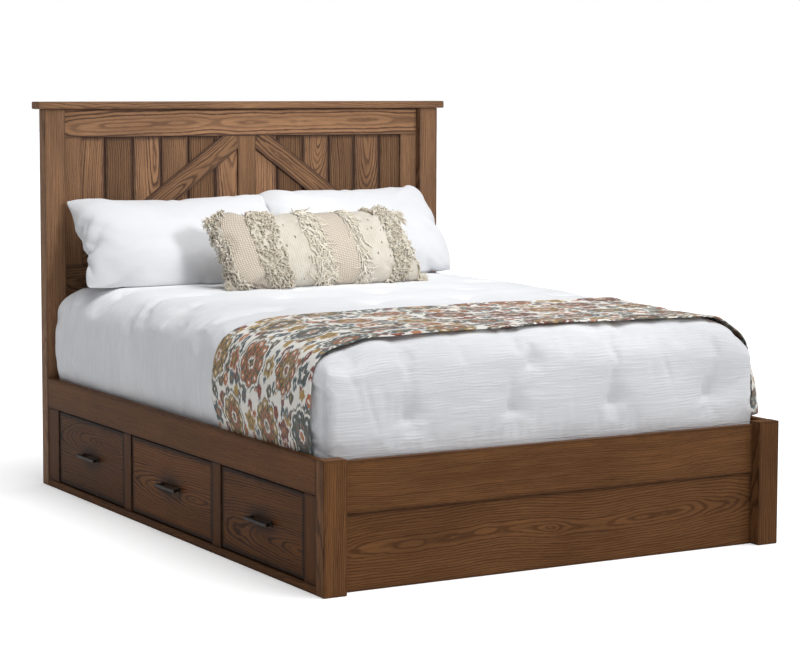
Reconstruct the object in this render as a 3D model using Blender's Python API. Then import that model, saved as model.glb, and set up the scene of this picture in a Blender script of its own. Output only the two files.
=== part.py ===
"""Queen platform bed: plank headboard, low footboard, six storage drawers and made-up bedding.

Metres, +Z up, +Y towards the headboard, +X to the right as seen from the foot.
The origin is on the floor, under the middle of the whole bed.
"""

import math

import bmesh
import bpy
from mathutils import Matrix, Vector

GAP = 0.0003
EASED = 0.0018

# Overall
BED_WIDTH = 1.650
POST_SPACING = 2.140
HEAD_HEIGHT = 1.400
SIDES = (("left", -1), ("right", 1))

# Posts
FOOT_POST = (0.077, 0.051, 0.398)
HEAD_POST = (0.079, 0.055)

# Headboard
CAP_THICKNESS = 0.027
CAP_SIDE = 0.026
CAP_FRONT = 0.009
CAP_BACK = 0.007
TOP_RAIL_BOTTOM = 1.270
BOTTOM_RAIL = (0.660, 0.800)
LOWER_RAIL = (0.230, 0.400)
STILE_WIDTH = 0.074
HEAD_SETBACK = 0.028
HEAD_FRAME_THICKNESS = 0.022
BRACE_WIDTH = 0.080
BRACE_THICKNESS = 0.010
PLANK_PITCH = 0.1125
FIRST_GROOVE = 0.095
GROOVE_WIDTH = 0.009
GROOVE_DEPTH = 0.005

# Footboard
FOOT_RAIL = (0.231, 0.386)
FOOT_RAIL_SETBACK = 0.035
FOOT_PANEL_SETBACK = 0.041
FOOT_INNER = 0.060

# Sides
RAIL = (0.290, 0.397)
RAIL_SETBACK = 0.0015
RAIL_THICKNESS = 0.025
LEDGER = (0.024, 0.022)
BASE_RAIL_HEIGHT = 0.026
BASE_RAIL_THICKNESS = 0.032
STILE_SETBACK = 0.003
STILE_THICKNESS = 0.022
STILES = ((0.051, 0.127), (0.687, 0.749), (1.386, 1.446), (2.040, POST_SPACING))
DECK_THICKNESS = 0.018

# Drawers
DRAWER_SETBACK = 0.006
DRAWER_REVEAL = 0.003
FRONT_THICKNESS = 0.019
BOX_DEPTH = 0.520
BOX_HEIGHT = (0.030, 0.235)
BOX_WALL = 0.013
BOX_FLOOR = (0.0485, 0.0565)
BOX_SIDE_CLEARANCE = 0.012
RUNNER = (0.040, 0.0200)
PULL_LENGTH = 0.150
PULL_CENTRES = 0.128
PULL_REACH = 0.0245
PULL_BAR = (0.009, 0.012)
PULL_LEG_RADIUS = 0.0048
PULL_FOOT_RADIUS = 0.0085

# Centre support
BEAM = (0.038, 0.048)
LEG_SPOTS = (("front", -0.60), ("rear", 0.45))

# Bedding
MATTRESS = (1.524, 2.032)
MATTRESS_TOP = 0.700
MATTRESS_WALL = 0.070
MATTRESS_FOOT = -1.006
COMFORTER_HALF = 0.790
COMFORTER_FOOT = -1.0365
COMFORTER_HEAD = 1.034
COMFORTER_HEIGHT = (0.345, 0.735)
COMFORTER_RADIUS = 0.050
THROW_SPAN = (-0.985, -0.385)
THROW_HEM = 0.405
THROW_THICKNESS = 0.005
CLEAR = 0.0015

# Reference planes worked out from the driving sizes
HALF = BED_WIDTH / 2
LENGTH = POST_SPACING + HEAD_POST[1] + CAP_BACK
FOOT_Y = -LENGTH / 2
HEAD_Y = FOOT_Y + POST_SPACING
POST_TOP = HEAD_HEIGHT - CAP_THICKNESS
FRAME_Y = HEAD_Y + HEAD_SETBACK
FRAME_BACK = FRAME_Y + HEAD_FRAME_THICKNESS
INNER_X = HALF - HEAD_POST[0]
PANEL_X = (INNER_X - STILE_WIDTH, STILE_WIDTH / 2)
DECK_BOTTOM = RAIL[0] + LEDGER[1] + GAP
DECK_TOP = DECK_BOTTOM + DECK_THICKNESS


def clear_scene():
    for obj in list(bpy.data.objects):
        bpy.data.objects.remove(obj, do_unlink=True)


def material(name, colour, roughness, metallic=0.0):
    made = bpy.data.materials.new(name)
    made.use_nodes = True
    shader = made.node_tree.nodes["Principled BSDF"]
    shader.inputs["Base Color"].default_value = (*colour, 1.0)
    shader.inputs["Roughness"].default_value = roughness
    shader.inputs["Metallic"].default_value = metallic
    made.diffuse_color = (*colour, 1.0)
    return made


def oak():
    return material("oak", (0.17, 0.075, 0.032), 0.42)


def birch():
    return material("birch", (0.55, 0.38, 0.22), 0.6)


def bronze():
    return material("bronze", (0.045, 0.036, 0.030), 0.38, 1.0)


def white_cotton():
    return material("white_cotton", (0.86, 0.87, 0.89), 0.9)


def printed_cloth():
    return material("printed_cloth", (0.55, 0.45, 0.34), 0.9)


def cream_wool():
    return material("cream_wool", (0.74, 0.66, 0.53), 0.95)


def add_object(name, mesh, surface, parent=None, at=(0.0, 0.0, 0.0)):
    """Links a mesh whose points are in the bed's frame, with its origin moved to `at`."""
    mesh.transform(Matrix.Translation(-Vector(at)))
    mesh.materials.append(surface)
    obj = bpy.data.objects.new(name, mesh)
    obj.location = at
    bpy.context.scene.collection.objects.link(obj)
    if parent:
        obj.parent = parent
        obj.location = Vector(at) - parent.location
    return obj


def box_bmesh(low, high):
    bm = bmesh.new()
    bmesh.ops.create_cube(bm, size=1.0)
    size = [high[i] - low[i] for i in range(3)]
    middle = [(high[i] + low[i]) / 2 for i in range(3)]
    bmesh.ops.scale(bm, vec=size, verts=bm.verts)
    bmesh.ops.translate(bm, vec=middle, verts=bm.verts)
    return bm


def to_mesh(bm, name):
    mesh = bpy.data.meshes.new(name)
    bmesh.ops.recalc_face_normals(bm, faces=bm.faces)
    bm.to_mesh(mesh)
    bm.free()
    return mesh


def bevel_edges(obj, width, segments=2):
    bevel = obj.modifiers.new("eased_edges", "BEVEL")
    bevel.width = width
    bevel.segments = segments
    bevel.limit_method = "ANGLE"
    bevel.angle_limit = math.radians(40)


def board(name, low, high, surface, eased=EASED, parent=None):
    """A sawn board with eased edges, between two corners in the bed's frame."""
    middle = [(high[i] + low[i]) / 2 for i in range(3)]
    obj = add_object(name, to_mesh(box_bmesh(low, high), name), surface, parent, middle)
    bevel_edges(obj, eased)
    return obj


def mirrored(low, high, side):
    """The same two corners on the side that `side` gives, -1 for left and 1 for right."""
    near, far = sorted((side * low[0], side * high[0]))
    return (near, low[1], low[2]), (far, high[1], high[2])


def prism(name, outline, axis, start, end, surface, eased=0.0):
    """An outline of two coordinates, extruded along the third axis from start to end."""
    bm = bmesh.new()
    corners = []
    for first, second in outline:
        point = [first, second]
        point.insert(axis, start)
        corners.append(bm.verts.new(point))
    face = bm.faces.new(corners)
    grown = bmesh.ops.extrude_face_region(bm, geom=[face])
    moved = [item for item in grown["geom"] if isinstance(item, bmesh.types.BMVert)]
    offset = Vector((0.0, 0.0, 0.0))
    offset[axis] = end - start
    bmesh.ops.translate(bm, vec=offset, verts=moved)
    obj = add_object(name, to_mesh(bm, name), surface)
    if eased:
        bevel_edges(obj, eased)
    return obj


def combine(obj, others, operation):
    """Cuts the others from an object, or joins them to it, and removes them."""
    for other in others:
        step = obj.modifiers.new("step", "BOOLEAN")
        step.operation = operation
        step.solver = "EXACT"
        step.object = other
    graph = bpy.context.evaluated_depsgraph_get()
    made = bpy.data.meshes.new_from_object(obj.evaluated_get(graph))
    obj.modifiers.clear()
    obj.data = made
    for other in others:
        bpy.data.objects.remove(other, do_unlink=True)
    return obj


def smooth_rounds(obj):
    obj.data.shade_smooth()
    obj.data.set_sharp_from_angle(angle=math.radians(40))


def posts(surface):
    width, depth, height = FOOT_POST
    for label, side in SIDES:
        low = (HALF - width, FOOT_Y, 0.0)
        high = (HALF, FOOT_Y + depth, height)
        board(f"foot_post_{label}", *mirrored(low, high, side), surface, eased=0.003)
        low = (INNER_X, HEAD_Y, 0.0)
        high = (HALF, HEAD_Y + HEAD_POST[1], POST_TOP - GAP)
        board(f"head_post_{label}", *mirrored(low, high, side), surface, eased=0.003)


def headboard_frame(surface):
    reach = HALF + CAP_SIDE
    back = HEAD_Y + HEAD_POST[1] + CAP_BACK
    cap_low = (-reach, HEAD_Y - CAP_FRONT, POST_TOP)
    board("head_cap", cap_low, (reach, back, HEAD_HEIGHT), surface, eased=0.004)
    inner = INNER_X - GAP
    rails = (
        ("head_top_rail", TOP_RAIL_BOTTOM + GAP, POST_TOP - GAP),
        ("head_bottom_rail", BOTTOM_RAIL[0], BOTTOM_RAIL[1] - GAP),
        ("head_lower_rail", *LOWER_RAIL),
    )
    for name, low, high in rails:
        board(name, (-inner, FRAME_Y, low), (inner, FRAME_BACK, high), surface)
    foot, top = BOTTOM_RAIL[1], TOP_RAIL_BOTTOM
    for label, side in SIDES:
        low = (PANEL_X[0], FRAME_Y, foot)
        high = (inner, FRAME_BACK, top)
        board(f"head_stile_{label}", *mirrored(low, high, side), surface)
    half = PANEL_X[1]
    board("head_stile_centre", (-half, FRAME_Y, foot), (half, FRAME_BACK, top), surface)


def plank_outline(left, right, front, back):
    """Plan of a tongue-and-groove panel: a V groove between planks on both faces."""
    middles = []
    middle = left + FIRST_GROOVE
    while middle < right - PLANK_PITCH / 2:
        middles.append(middle)
        middle += PLANK_PITCH
    half = GROOVE_WIDTH / 2
    outline = [(left, front)]
    for middle in middles:
        outline += [(middle - half, front), (middle, front + GROOVE_DEPTH), (middle + half, front)]
    outline += [(right, front), (right, back)]
    for middle in reversed(middles):
        outline += [(middle + half, back), (middle, back - GROOVE_DEPTH), (middle - half, back)]
    return outline + [(left, back)]


def headboard_panels(surface):
    front = FRAME_Y + BRACE_THICKNESS + GAP
    bottom = BOTTOM_RAIL[1] + GAP
    top = TOP_RAIL_BOTTOM - GAP
    outer, inner = PANEL_X[0] - GAP, PANEL_X[1] + GAP
    for label, left, right in (("left", -outer, -inner), ("right", inner, outer)):
        outline = plank_outline(left, right, front, FRAME_BACK)
        prism(f"head_planks_{label}", outline, 2, bottom, top, surface)


def brace_outline(side):
    """Half of the inverted V: a strip from corner to corner of one panel, trimmed to its frame."""
    outer, inner = PANEL_X[0] - GAP, PANEL_X[1] + GAP
    top, bottom = TOP_RAIL_BOTTOM - GAP, BOTTOM_RAIL[1] + GAP
    slope = (top - bottom) / (outer - inner)
    rise = BRACE_WIDTH / 2 * math.hypot(1.0, slope)
    outline = [
        (inner, top),
        (inner, top - rise),
        (outer - rise / slope, bottom),
        (outer, bottom),
        (outer, bottom + rise),
        (inner + rise / slope, top),
    ]
    return [(side * x, z) for x, z in outline]


def braces(surface):
    for label, side in SIDES:
        back = FRAME_Y + BRACE_THICKNESS
        prism(f"head_brace_{label}", brace_outline(side), 1, FRAME_Y, back, surface, eased=0.0012)


def footboard(surface):
    reach = HALF - FOOT_POST[0] - GAP
    back = FOOT_Y + FOOT_INNER
    rail_low = (-reach, FOOT_Y + FOOT_RAIL_SETBACK, FOOT_RAIL[0])
    board("foot_rail", rail_low, (reach, back, FOOT_RAIL[1]), surface)
    panel_low = (-reach, FOOT_Y + FOOT_PANEL_SETBACK, 0.0)
    board("foot_panel", panel_low, (reach, back, FOOT_RAIL[0] - GAP), surface)


def side_frames(surface):
    start = FOOT_Y + FOOT_POST[1] + GAP
    end = HEAD_Y - GAP
    outer = HALF - RAIL_SETBACK
    inner = outer - RAIL_THICKNESS
    low, high = RAIL
    for label, side in SIDES:
        outline = [
            (side * outer, low),
            (side * outer, high),
            (side * inner, high),
            (side * inner, low + LEDGER[1]),
            (side * (inner - LEDGER[0]), low + LEDGER[1]),
            (side * (inner - LEDGER[0]), low),
        ]
        prism(f"side_rail_{label}", outline, 1, start, end, surface, eased=EASED)
        base_low = (outer - BASE_RAIL_THICKNESS, start, 0.0)
        base_high = (outer, end, BASE_RAIL_HEIGHT)
        board(f"base_rail_{label}", *mirrored(base_low, base_high, side), surface)
        face = HALF - STILE_SETBACK
        for number, (near, far) in enumerate(STILES, start=1):
            stile_low = (face - STILE_THICKNESS, max(FOOT_Y + near, start), BASE_RAIL_HEIGHT + GAP)
            stile_high = (face, min(FOOT_Y + far, end), RAIL[0] - GAP)
            corners = mirrored(stile_low, stile_high, side)
            board(f"face_stile_{label}_{number}", *corners, surface)


def pull(name, side, face, y, z, surface, parent):
    """A bar pull: a rounded bar on two turned legs with flared feet."""
    bar_out = face + PULL_REACH
    bar_in = bar_out - PULL_BAR[0]
    low = (bar_in, y - PULL_LENGTH / 2, z - PULL_BAR[1] / 2)
    high = (bar_out, y + PULL_LENGTH / 2, z + PULL_BAR[1] / 2)
    bar = board(name, *mirrored(low, high, side), surface, eased=0.0028, parent=parent)
    legs = []
    profile = (
        (face + GAP, PULL_FOOT_RADIUS),
        (face + 0.002, PULL_FOOT_RADIUS),
        (face + 0.0065, PULL_LEG_RADIUS),
        (bar_in + 0.004, PULL_LEG_RADIUS),
    )
    for end in (-1, 1):
        at = y + end * PULL_CENTRES / 2
        legs.append(turned(f"{name}_leg", profile, side, at, z, surface))
    combine(bar, legs, "UNION")
    smooth_rounds(bar)
    return bar


def turned(name, profile, side, y, z, surface, sides=20):
    """A round piece on an X axis, from (distance, radius) pairs along it."""
    bm = bmesh.new()
    rings = []
    for distance, radius in profile:
        ring = []
        for step in range(sides):
            turn = 2 * math.pi * step / sides
            point = (side * distance, y + radius * math.cos(turn), z + radius * math.sin(turn))
            ring.append(bm.verts.new(point))
        rings.append(ring)
    for near, far in zip(rings, rings[1:]):
        for step in range(sides):
            after = (step + 1) % sides
            bm.faces.new((near[step], near[after], far[after], far[step]))
    bm.faces.new(rings[0])
    bm.faces.new(rings[-1])
    return add_object(name, to_mesh(bm, name), surface)


def drawer_box(name, side, front_back, near, far, surface, parent):
    """An open-topped box, with a channel under its floor that rides on the runner."""
    bottom, top = BOX_HEIGHT
    inner_end = front_back - BOX_DEPTH
    low = (inner_end, near, bottom)
    high = (front_back, far, top)
    body = add_object(name, to_mesh(box_bmesh(*mirrored(low, high, side)), name), surface, parent)
    hollow_low = (inner_end + BOX_WALL, near + BOX_WALL, BOX_FLOOR[1])
    hollow_high = (front_back - BOX_WALL, far - BOX_WALL, top + 0.05)
    channel_low = (inner_end - 0.05, near + BOX_WALL, bottom - 0.05)
    channel_high = (front_back + 0.05, far - BOX_WALL, BOX_FLOOR[0])
    cuts = []
    for corners in ((hollow_low, hollow_high), (channel_low, channel_high)):
        mesh = to_mesh(box_bmesh(*mirrored(*corners, side)), "cut")
        cuts.append(add_object("cut", mesh, surface))
    return combine(body, cuts, "DIFFERENCE")


def drawer(label, side, number, surfaces):
    """One drawer: slab front, box and pull, all held by an empty that slides along X."""
    wood, box_wood, metal = surfaces
    near = FOOT_Y + STILES[number - 1][1]
    far = FOOT_Y + STILES[number][0]
    face = HALF - DRAWER_SETBACK
    back = face - FRONT_THICKNESS
    low_z, high_z = BASE_RAIL_HEIGHT + DRAWER_REVEAL, RAIL[0] - DRAWER_REVEAL
    middle_y, middle_z = (near + far) / 2, (low_z + high_z) / 2
    name = f"drawer_{label}_{number}"
    slide = bpy.data.objects.new(f"{name}_slide", None)
    slide.location = (side * face, middle_y, middle_z)
    bpy.context.scene.collection.objects.link(slide)
    low = (back, near + DRAWER_REVEAL, low_z)
    high = (face, far - DRAWER_REVEAL, high_z)
    board(f"{name}_front", *mirrored(low, high, side), wood, eased=0.0025, parent=slide)
    spread = (near + BOX_SIDE_CLEARANCE, far - BOX_SIDE_CLEARANCE)
    drawer_box(f"{name}_box", side, back - GAP, *spread, box_wood, slide)
    pull(f"{name}_pull", side, face, middle_y, middle_z, metal, slide)


def runners(surface):
    """Rails across the bed, each under a pair of opposite drawers."""
    reach = HALF - RAIL_SETBACK - GAP
    bottom = BASE_RAIL_HEIGHT + GAP
    half = RUNNER[0] / 2
    inset = STILE_THICKNESS + STILE_SETBACK
    for number in range(1, len(STILES)):
        middle = FOOT_Y + (STILES[number - 1][1] + STILES[number][0]) / 2
        low = (inset - reach, middle - half, bottom)
        high = (reach - inset, middle + half, bottom + RUNNER[1])
        board(f"drawer_runner_{number}", low, high, surface)


def platform(surface):
    """The mattress deck on the ledgers, with a beam and two legs under its middle."""
    inner = HALF - RAIL_SETBACK - RAIL_THICKNESS - GAP
    start = FOOT_Y + FOOT_INNER + GAP
    end = HEAD_Y - 2 * GAP
    board("platform_deck", (-inner, start, DECK_BOTTOM), (inner, end, DECK_TOP), surface)
    half = BEAM[0] / 2
    beam_low = DECK_BOTTOM - GAP - BEAM[1]
    beam_high = DECK_BOTTOM - GAP
    board("centre_beam", (-half, start, beam_low), (half, FRAME_Y - GAP, beam_high), surface)
    for label, y in LEG_SPOTS:
        low = (-half, y - half, 0.0)
        high = (half, y + half, beam_low - GAP)
        board(f"centre_leg_{label}", low, high, surface)


def shell(name, outer, inner, radius, surface):
    """A rounded block with a block taken out of it."""
    body = add_object(name, to_mesh(box_bmesh(*outer), name), surface)
    bevel_edges(body, radius, segments=4)
    cut = add_object("cut", to_mesh(box_bmesh(*inner), "cut"), surface)
    return combine(body, [cut], "DIFFERENCE")


def mattress(surface):
    half = MATTRESS[0] / 2
    head = MATTRESS_FOOT + MATTRESS[1]
    bottom = DECK_TOP + GAP
    wall = MATTRESS_WALL
    outer = ((-half, MATTRESS_FOOT, bottom), (half, head, MATTRESS_TOP))
    inner_low = (wall - half, MATTRESS_FOOT + wall, bottom - wall)
    inner_high = (half - wall, head - wall, MATTRESS_TOP - wall)
    smooth_rounds(shell("mattress", outer, (inner_low, inner_high), 0.030, surface))


def comforter(surface):
    """Lies over the mattress and hangs inside the rails on both sides and at the foot."""
    low, high = COMFORTER_HEIGHT
    half = COMFORTER_HALF
    outer = ((-half, COMFORTER_FOOT, low), (half, COMFORTER_HEAD, high))
    inner_half = MATTRESS[0] / 2 + CLEAR
    inner_low = (-inner_half, MATTRESS_FOOT - CLEAR, low - 0.1)
    inner_high = (inner_half, COMFORTER_HEAD + 0.1, MATTRESS_TOP + GAP)
    smooth_rounds(shell("comforter", outer, (inner_low, inner_high), COMFORTER_RADIUS, surface))


def draped_line(offset):
    """From hem to hem over the comforter, `offset` away from it, as (x, z) points."""
    reach = COMFORTER_HALF + offset
    top = COMFORTER_HEIGHT[1] + offset
    radius = COMFORTER_RADIUS + offset
    steps = 6
    line = [(-reach, THROW_HEM)]
    for step in range(steps + 1):
        turn = math.pi / 2 * step / steps
        x = -reach + radius * (1 - math.cos(turn))
        line.append((x, top - radius * (1 - math.sin(turn))))
    return line + [(-x, z) for x, z in reversed(line)]


def throw(surface):
    outline = draped_line(CLEAR + THROW_THICKNESS) + draped_line(CLEAR)[::-1]
    obj = prism("throw", outline, 1, *THROW_SPAN, surface)
    smooth_rounds(obj)


def pad(name, size, edge, middle, lean, surface):
    """A stuffed pad: thick in its middle, `edge` thick round its rim, leaning about X."""
    length, width, thick = size
    across, along = 12, 8
    bm = bmesh.new()
    faces = {}
    for face in (1, -1):
        for i in range(across + 1):
            for j in range(along + 1):
                u, v = 2 * i / across - 1, 2 * j / along - 1
                crown = (1 - abs(u) ** 3) * (1 - abs(v) ** 2.5)
                z = face * (edge + (thick - edge) * crown**0.7) / 2
                x = u * length / 2 * (1 - 0.04 * (1 - v * v))
                y = v * width / 2 * (1 - 0.04 * (1 - u * u))
                faces[face, i, j] = bm.verts.new((x, y, z))
    for i in range(across):
        for j in range(along):
            square = ((i, j), (i + 1, j), (i + 1, j + 1), (i, j + 1))
            for face in (1, -1):
                bm.faces.new([faces[face, a, b] for a, b in square])
    rim = [(i, 0) for i in range(across)] + [(across, j) for j in range(along)]
    rim += [(i, along) for i in range(across, 0, -1)] + [(0, j) for j in range(along, 0, -1)]
    for here, after in zip(rim, rim[1:] + rim[:1]):
        quad = (faces[1, *here], faces[1, *after], faces[-1, *after], faces[-1, *here])
        bm.faces.new(quad)
    obj = add_object(name, to_mesh(bm, name), surface)
    obj.location = middle
    obj.rotation_euler = (lean, 0.0, 0.0)
    smooth_rounds(obj)


def pillows(cotton, wool):
    lean = math.radians(34.6)
    pad("pillow_left", (0.780, 0.500, 0.150), 0.024, (-0.362, 0.810, 0.910), lean, cotton)
    pad("pillow_right", (0.740, 0.500, 0.150), 0.024, (0.402, 0.810, 0.910), lean, cotton)
    size = (0.800, 0.330, 0.110)
    pad("lumbar_cushion", size, 0.020, (0.045, 0.560, 0.888), math.radians(50.5), wool)


def build():
    clear_scene()
    wood, box_wood, metal = oak(), birch(), bronze()
    cotton, print_cloth, wool = white_cotton(), printed_cloth(), cream_wool()
    posts(wood)
    headboard_frame(wood)
    headboard_panels(wood)
    braces(wood)
    footboard(wood)
    side_frames(wood)
    for label, side in SIDES:
        for number in range(1, len(STILES)):
            drawer(label, side, number, (wood, box_wood, metal))
    runners(box_wood)
    platform(box_wood)
    mattress(cotton)
    comforter(cotton)
    throw(print_cloth)
    pillows(cotton, wool)


build()
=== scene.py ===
"""Looks of the platform bed: oak, hardware, bedding, floor, light and camera around its frame."""

import math

import bmesh
import bpy
import numpy as np
from mathutils import Matrix, Vector
from mathutils.bvhtree import BVHTree


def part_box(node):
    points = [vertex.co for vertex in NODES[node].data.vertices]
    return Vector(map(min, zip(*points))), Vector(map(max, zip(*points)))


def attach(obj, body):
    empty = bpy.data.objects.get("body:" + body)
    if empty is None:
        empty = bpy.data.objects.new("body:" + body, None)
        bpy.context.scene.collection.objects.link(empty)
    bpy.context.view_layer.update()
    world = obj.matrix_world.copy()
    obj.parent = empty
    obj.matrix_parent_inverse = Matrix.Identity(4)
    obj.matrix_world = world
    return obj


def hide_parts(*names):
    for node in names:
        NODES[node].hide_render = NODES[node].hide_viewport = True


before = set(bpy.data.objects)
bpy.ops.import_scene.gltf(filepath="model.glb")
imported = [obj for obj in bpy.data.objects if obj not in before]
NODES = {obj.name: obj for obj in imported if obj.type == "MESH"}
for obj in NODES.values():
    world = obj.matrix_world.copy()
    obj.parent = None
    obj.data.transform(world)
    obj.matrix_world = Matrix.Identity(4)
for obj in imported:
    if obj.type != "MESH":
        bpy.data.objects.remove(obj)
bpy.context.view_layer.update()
ROOT = "frame"
SIDES = (("left", -1), ("right", 1))
DRAWERS = [f"drawer_{side}_{number}" for side, _ in SIDES for number in (1, 2, 3)]


# ---------------------------------------------------------------- camera, light, floor

CAMERA_AT = (-3.8866, -6.8453, 1.4726)
CAMERA_YAW, CAMERA_PITCH, CAMERA_ROLL = (math.radians(a) for a in (29.955, 5.009, 0.149))
CAMERA_LENS = 104.01
CAMERA_SHIFT = -0.0606


def make_camera():
    yaw, pitch, roll = CAMERA_YAW, CAMERA_PITCH, CAMERA_ROLL
    ahead = (math.sin(yaw) * math.cos(pitch), math.cos(yaw) * math.cos(pitch), -math.sin(pitch))
    ahead = Vector(ahead)
    across = Vector((math.cos(yaw), -math.sin(yaw), 0.0))
    up = across.cross(ahead)
    turned = across * math.cos(roll) + up * math.sin(roll)
    up = up * math.cos(roll) - across * math.sin(roll)
    data = bpy.data.cameras.new("camera")
    data.lens, data.sensor_width, data.shift_y = CAMERA_LENS, 36.0, CAMERA_SHIFT
    camera = bpy.data.objects.new("camera", data)
    camera.matrix_world = Matrix((turned, up, -ahead)).transposed().to_4x4()
    camera.matrix_world.translation = CAMERA_AT
    bpy.context.scene.collection.objects.link(camera)
    bpy.context.scene.camera = camera


def area_light(name, at, aim, size, power, spread=180.0):
    data = bpy.data.lights.new(name, "AREA")
    data.shape, data.size, data.energy = "DISK", size, power
    data.spread = math.radians(spread)
    light = bpy.data.objects.new(name, data)
    light.location = at
    light.rotation_mode = "QUATERNION"
    light.rotation_quaternion = (Vector(aim) - Vector(at)).to_track_quat("-Z", "Y")
    light.visible_camera = False
    bpy.context.scene.collection.objects.link(light)


def sun(name, toward, strength, spread):
    """A soft light from far away, in the direction that toward gives, spread in degrees."""
    data = bpy.data.lights.new(name, "SUN")
    data.energy, data.angle = strength, math.radians(spread)
    light = bpy.data.objects.new(name, data)
    light.rotation_mode = "QUATERNION"
    light.rotation_quaternion = Vector(toward).to_track_quat("Z", "Y")
    bpy.context.scene.collection.objects.link(light)


def make_light():
    """A white room: a dim surround, a broad overhead light and a beam on the headboard."""
    world = bpy.data.worlds.new("studio")
    world.use_nodes = True
    g = Graph(world.node_tree)
    shown = g.node("Background")
    shown.inputs["Color"].default_value = (1.0, 1.0, 1.0, 1.0)
    fill = world.node_tree.nodes["Background"]
    fill.inputs["Color"].default_value = (0.96, 0.98, 1.0, 1.0)
    fill.inputs["Strength"].default_value = 0.208
    pick = g.node("MixShader")
    g.link(g.node("LightPath").outputs["Is Camera Ray"], pick.inputs["Fac"])
    g.link(fill.outputs[0], pick.inputs[1])
    g.link(shown.outputs[0], pick.inputs[2])
    g.link(pick.outputs[0], world.node_tree.nodes["World Output"].inputs["Surface"])
    bpy.context.scene.world = world
    sun("overhead", (0.19, -0.29, 0.938), 2.62, 50.0)
    area_light("headboard_beam", (0.5, -3.6, 2.5), (0.05, 1.06, 1.12), 0.9, 6.1, 34.0)
    bpy.context.scene.view_settings.view_transform = "Standard"


FLOOR_GLOW = 0.34


def make_floor():
    """A pale floor, which looks lighter than the light on it to meet the white surround."""
    mesh = bpy.data.meshes.new("floor")
    bm = bmesh.new()
    bmesh.ops.create_circle(bm, cap_ends=True, segments=96, radius=60.0)
    bm.to_mesh(mesh)
    bm.free()
    floor = bpy.data.objects.new("floor", mesh)
    floor.location.z = -0.0004
    bpy.context.scene.collection.objects.link(floor)
    g, shader = new_material("studio_floor")
    point = g.object_point()
    cloud = g.noise(point, scale=1.4, detail=3.0)
    g.put(shader.inputs["Base Color"], g.mix(cloud, (0.90, 0.90, 0.90), (0.93, 0.93, 0.93)))
    g.put(shader.inputs["Roughness"], g.fma(cloud, 0.1, 0.75))
    shader.inputs["Specular IOR Level"].default_value = 0.1
    glow = g.node("Emission")
    seen = g.node("LightPath").outputs["Is Camera Ray"]
    g.link(g.mul(seen, FLOOR_GLOW), glow.inputs["Strength"])
    both = g.node("AddShader")
    g.link(shader.outputs[0], both.inputs[0])
    g.link(glow.outputs[0], both.inputs[1])
    g.link(both.outputs[0], g.tree.nodes["Material Output"].inputs["Surface"])
    mesh.materials.append(g.material)


# ---------------------------------------------------------------- shader node short-hand


SHADER_INPUTS = {
    "sheen": "Sheen Weight", "sheen_roughness": "Sheen Roughness",
    "specular": "Specular IOR Level", "metallic": "Metallic",
}


class Graph:
    """Adds and links the nodes of one tree. A value may be a socket, a number or a colour."""

    def __init__(self, tree, material=None):
        self.tree = tree
        self.material = material

    def node(self, kind, **settings):
        made = self.tree.nodes.new("ShaderNode" + kind)
        for key, value in settings.items():
            setattr(made, key, value)
        return made

    def link(self, source, target):
        self.tree.links.new(source, target)

    def put(self, socket, value):
        if isinstance(value, bpy.types.NodeSocket):
            self.link(value, socket)
        elif socket.type == "RGBA" and len(value) == 3:
            socket.default_value = (*value, 1.0)
        else:
            socket.default_value = value

    def _fed(self, made, values):
        for socket, value in zip(made.inputs, values):
            self.put(socket, value)
        return made

    def math(self, operation, *values, clamp=False):
        made = self.node("Math", operation=operation, use_clamp=clamp)
        return self._fed(made, values).outputs[0]

    def vector(self, operation, *values):
        made = self._fed(self.node("VectorMath", operation=operation), values)
        scalar = operation in ("LENGTH", "DISTANCE", "DOT_PRODUCT")
        return made.outputs["Value" if scalar else "Vector"]

    def mul(self, *values, clamp=False):
        return self.math("MULTIPLY", *values, clamp=clamp)

    def fma(self, *values):
        """The first value times the second, plus the third."""
        return self.math("MULTIPLY_ADD", *values)

    def add(self, *values):
        return self.math("ADD", *values)

    def sub(self, *values):
        return self.math("SUBTRACT", *values)

    def div(self, *values):
        return self.math("DIVIDE", *values)

    def stretch(self, vector, rates):
        """Each part of a vector times its own rate."""
        return self.vector("MULTIPLY", vector, rates)

    def split(self, vector):
        return self._fed(self.node("SeparateXYZ"), [vector]).outputs

    def join(self, *parts):
        return self._fed(self.node("CombineXYZ"), parts).outputs[0]

    def object_point(self):
        return self.node("TexCoord").outputs["Object"]

    def attribute(self, name):
        return self.node("Attribute", attribute_name=name).outputs["Vector"]

    def noise(self, at, scale=1.0, detail=2.0, rough=0.5, distortion=0.0):
        made = self.node("TexNoise")
        self.put(made.inputs["Vector"], at)
        self.put(made.inputs["Scale"], scale)
        made.inputs["Detail"].default_value = detail
        made.inputs["Roughness"].default_value = rough
        made.inputs["Distortion"].default_value = distortion
        return made.outputs["Fac"]

    def smooth(self, value, low, high):
        """0 below low, 1 above high and an eased step between; low may be the larger."""
        made = self.node("MapRange", interpolation_type="SMOOTHSTEP")
        for socket, number in zip(made.inputs, (value, low, high, 0.0, 1.0)):
            self.put(socket, number)
        return made.outputs[0]

    def mix(self, factor, a, b, blend="MIX"):
        made = self.node("Mix", data_type="RGBA", blend_type=blend)
        self.put(made.inputs[0], factor)
        self.put(made.inputs[6], a)
        self.put(made.inputs[7], b)
        return made.outputs[2]

    def shade(self, shader, colour, roughness, normal, **constants):
        """Feeds a surface shader; constants are for the inputs that SHADER_INPUTS names."""
        self.put(shader.inputs["Base Color"], colour)
        self.put(shader.inputs["Roughness"], roughness)
        self.put(shader.inputs["Normal"], normal)
        for name, number in constants.items():
            shader.inputs[SHADER_INPUTS[name]].default_value = number

    def bump(self, height, strength, distance):
        made = self.node("Bump")
        made.inputs["Strength"].default_value = strength
        made.inputs["Distance"].default_value = distance
        self.put(made.inputs["Height"], height)
        return made.outputs["Normal"]


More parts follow.
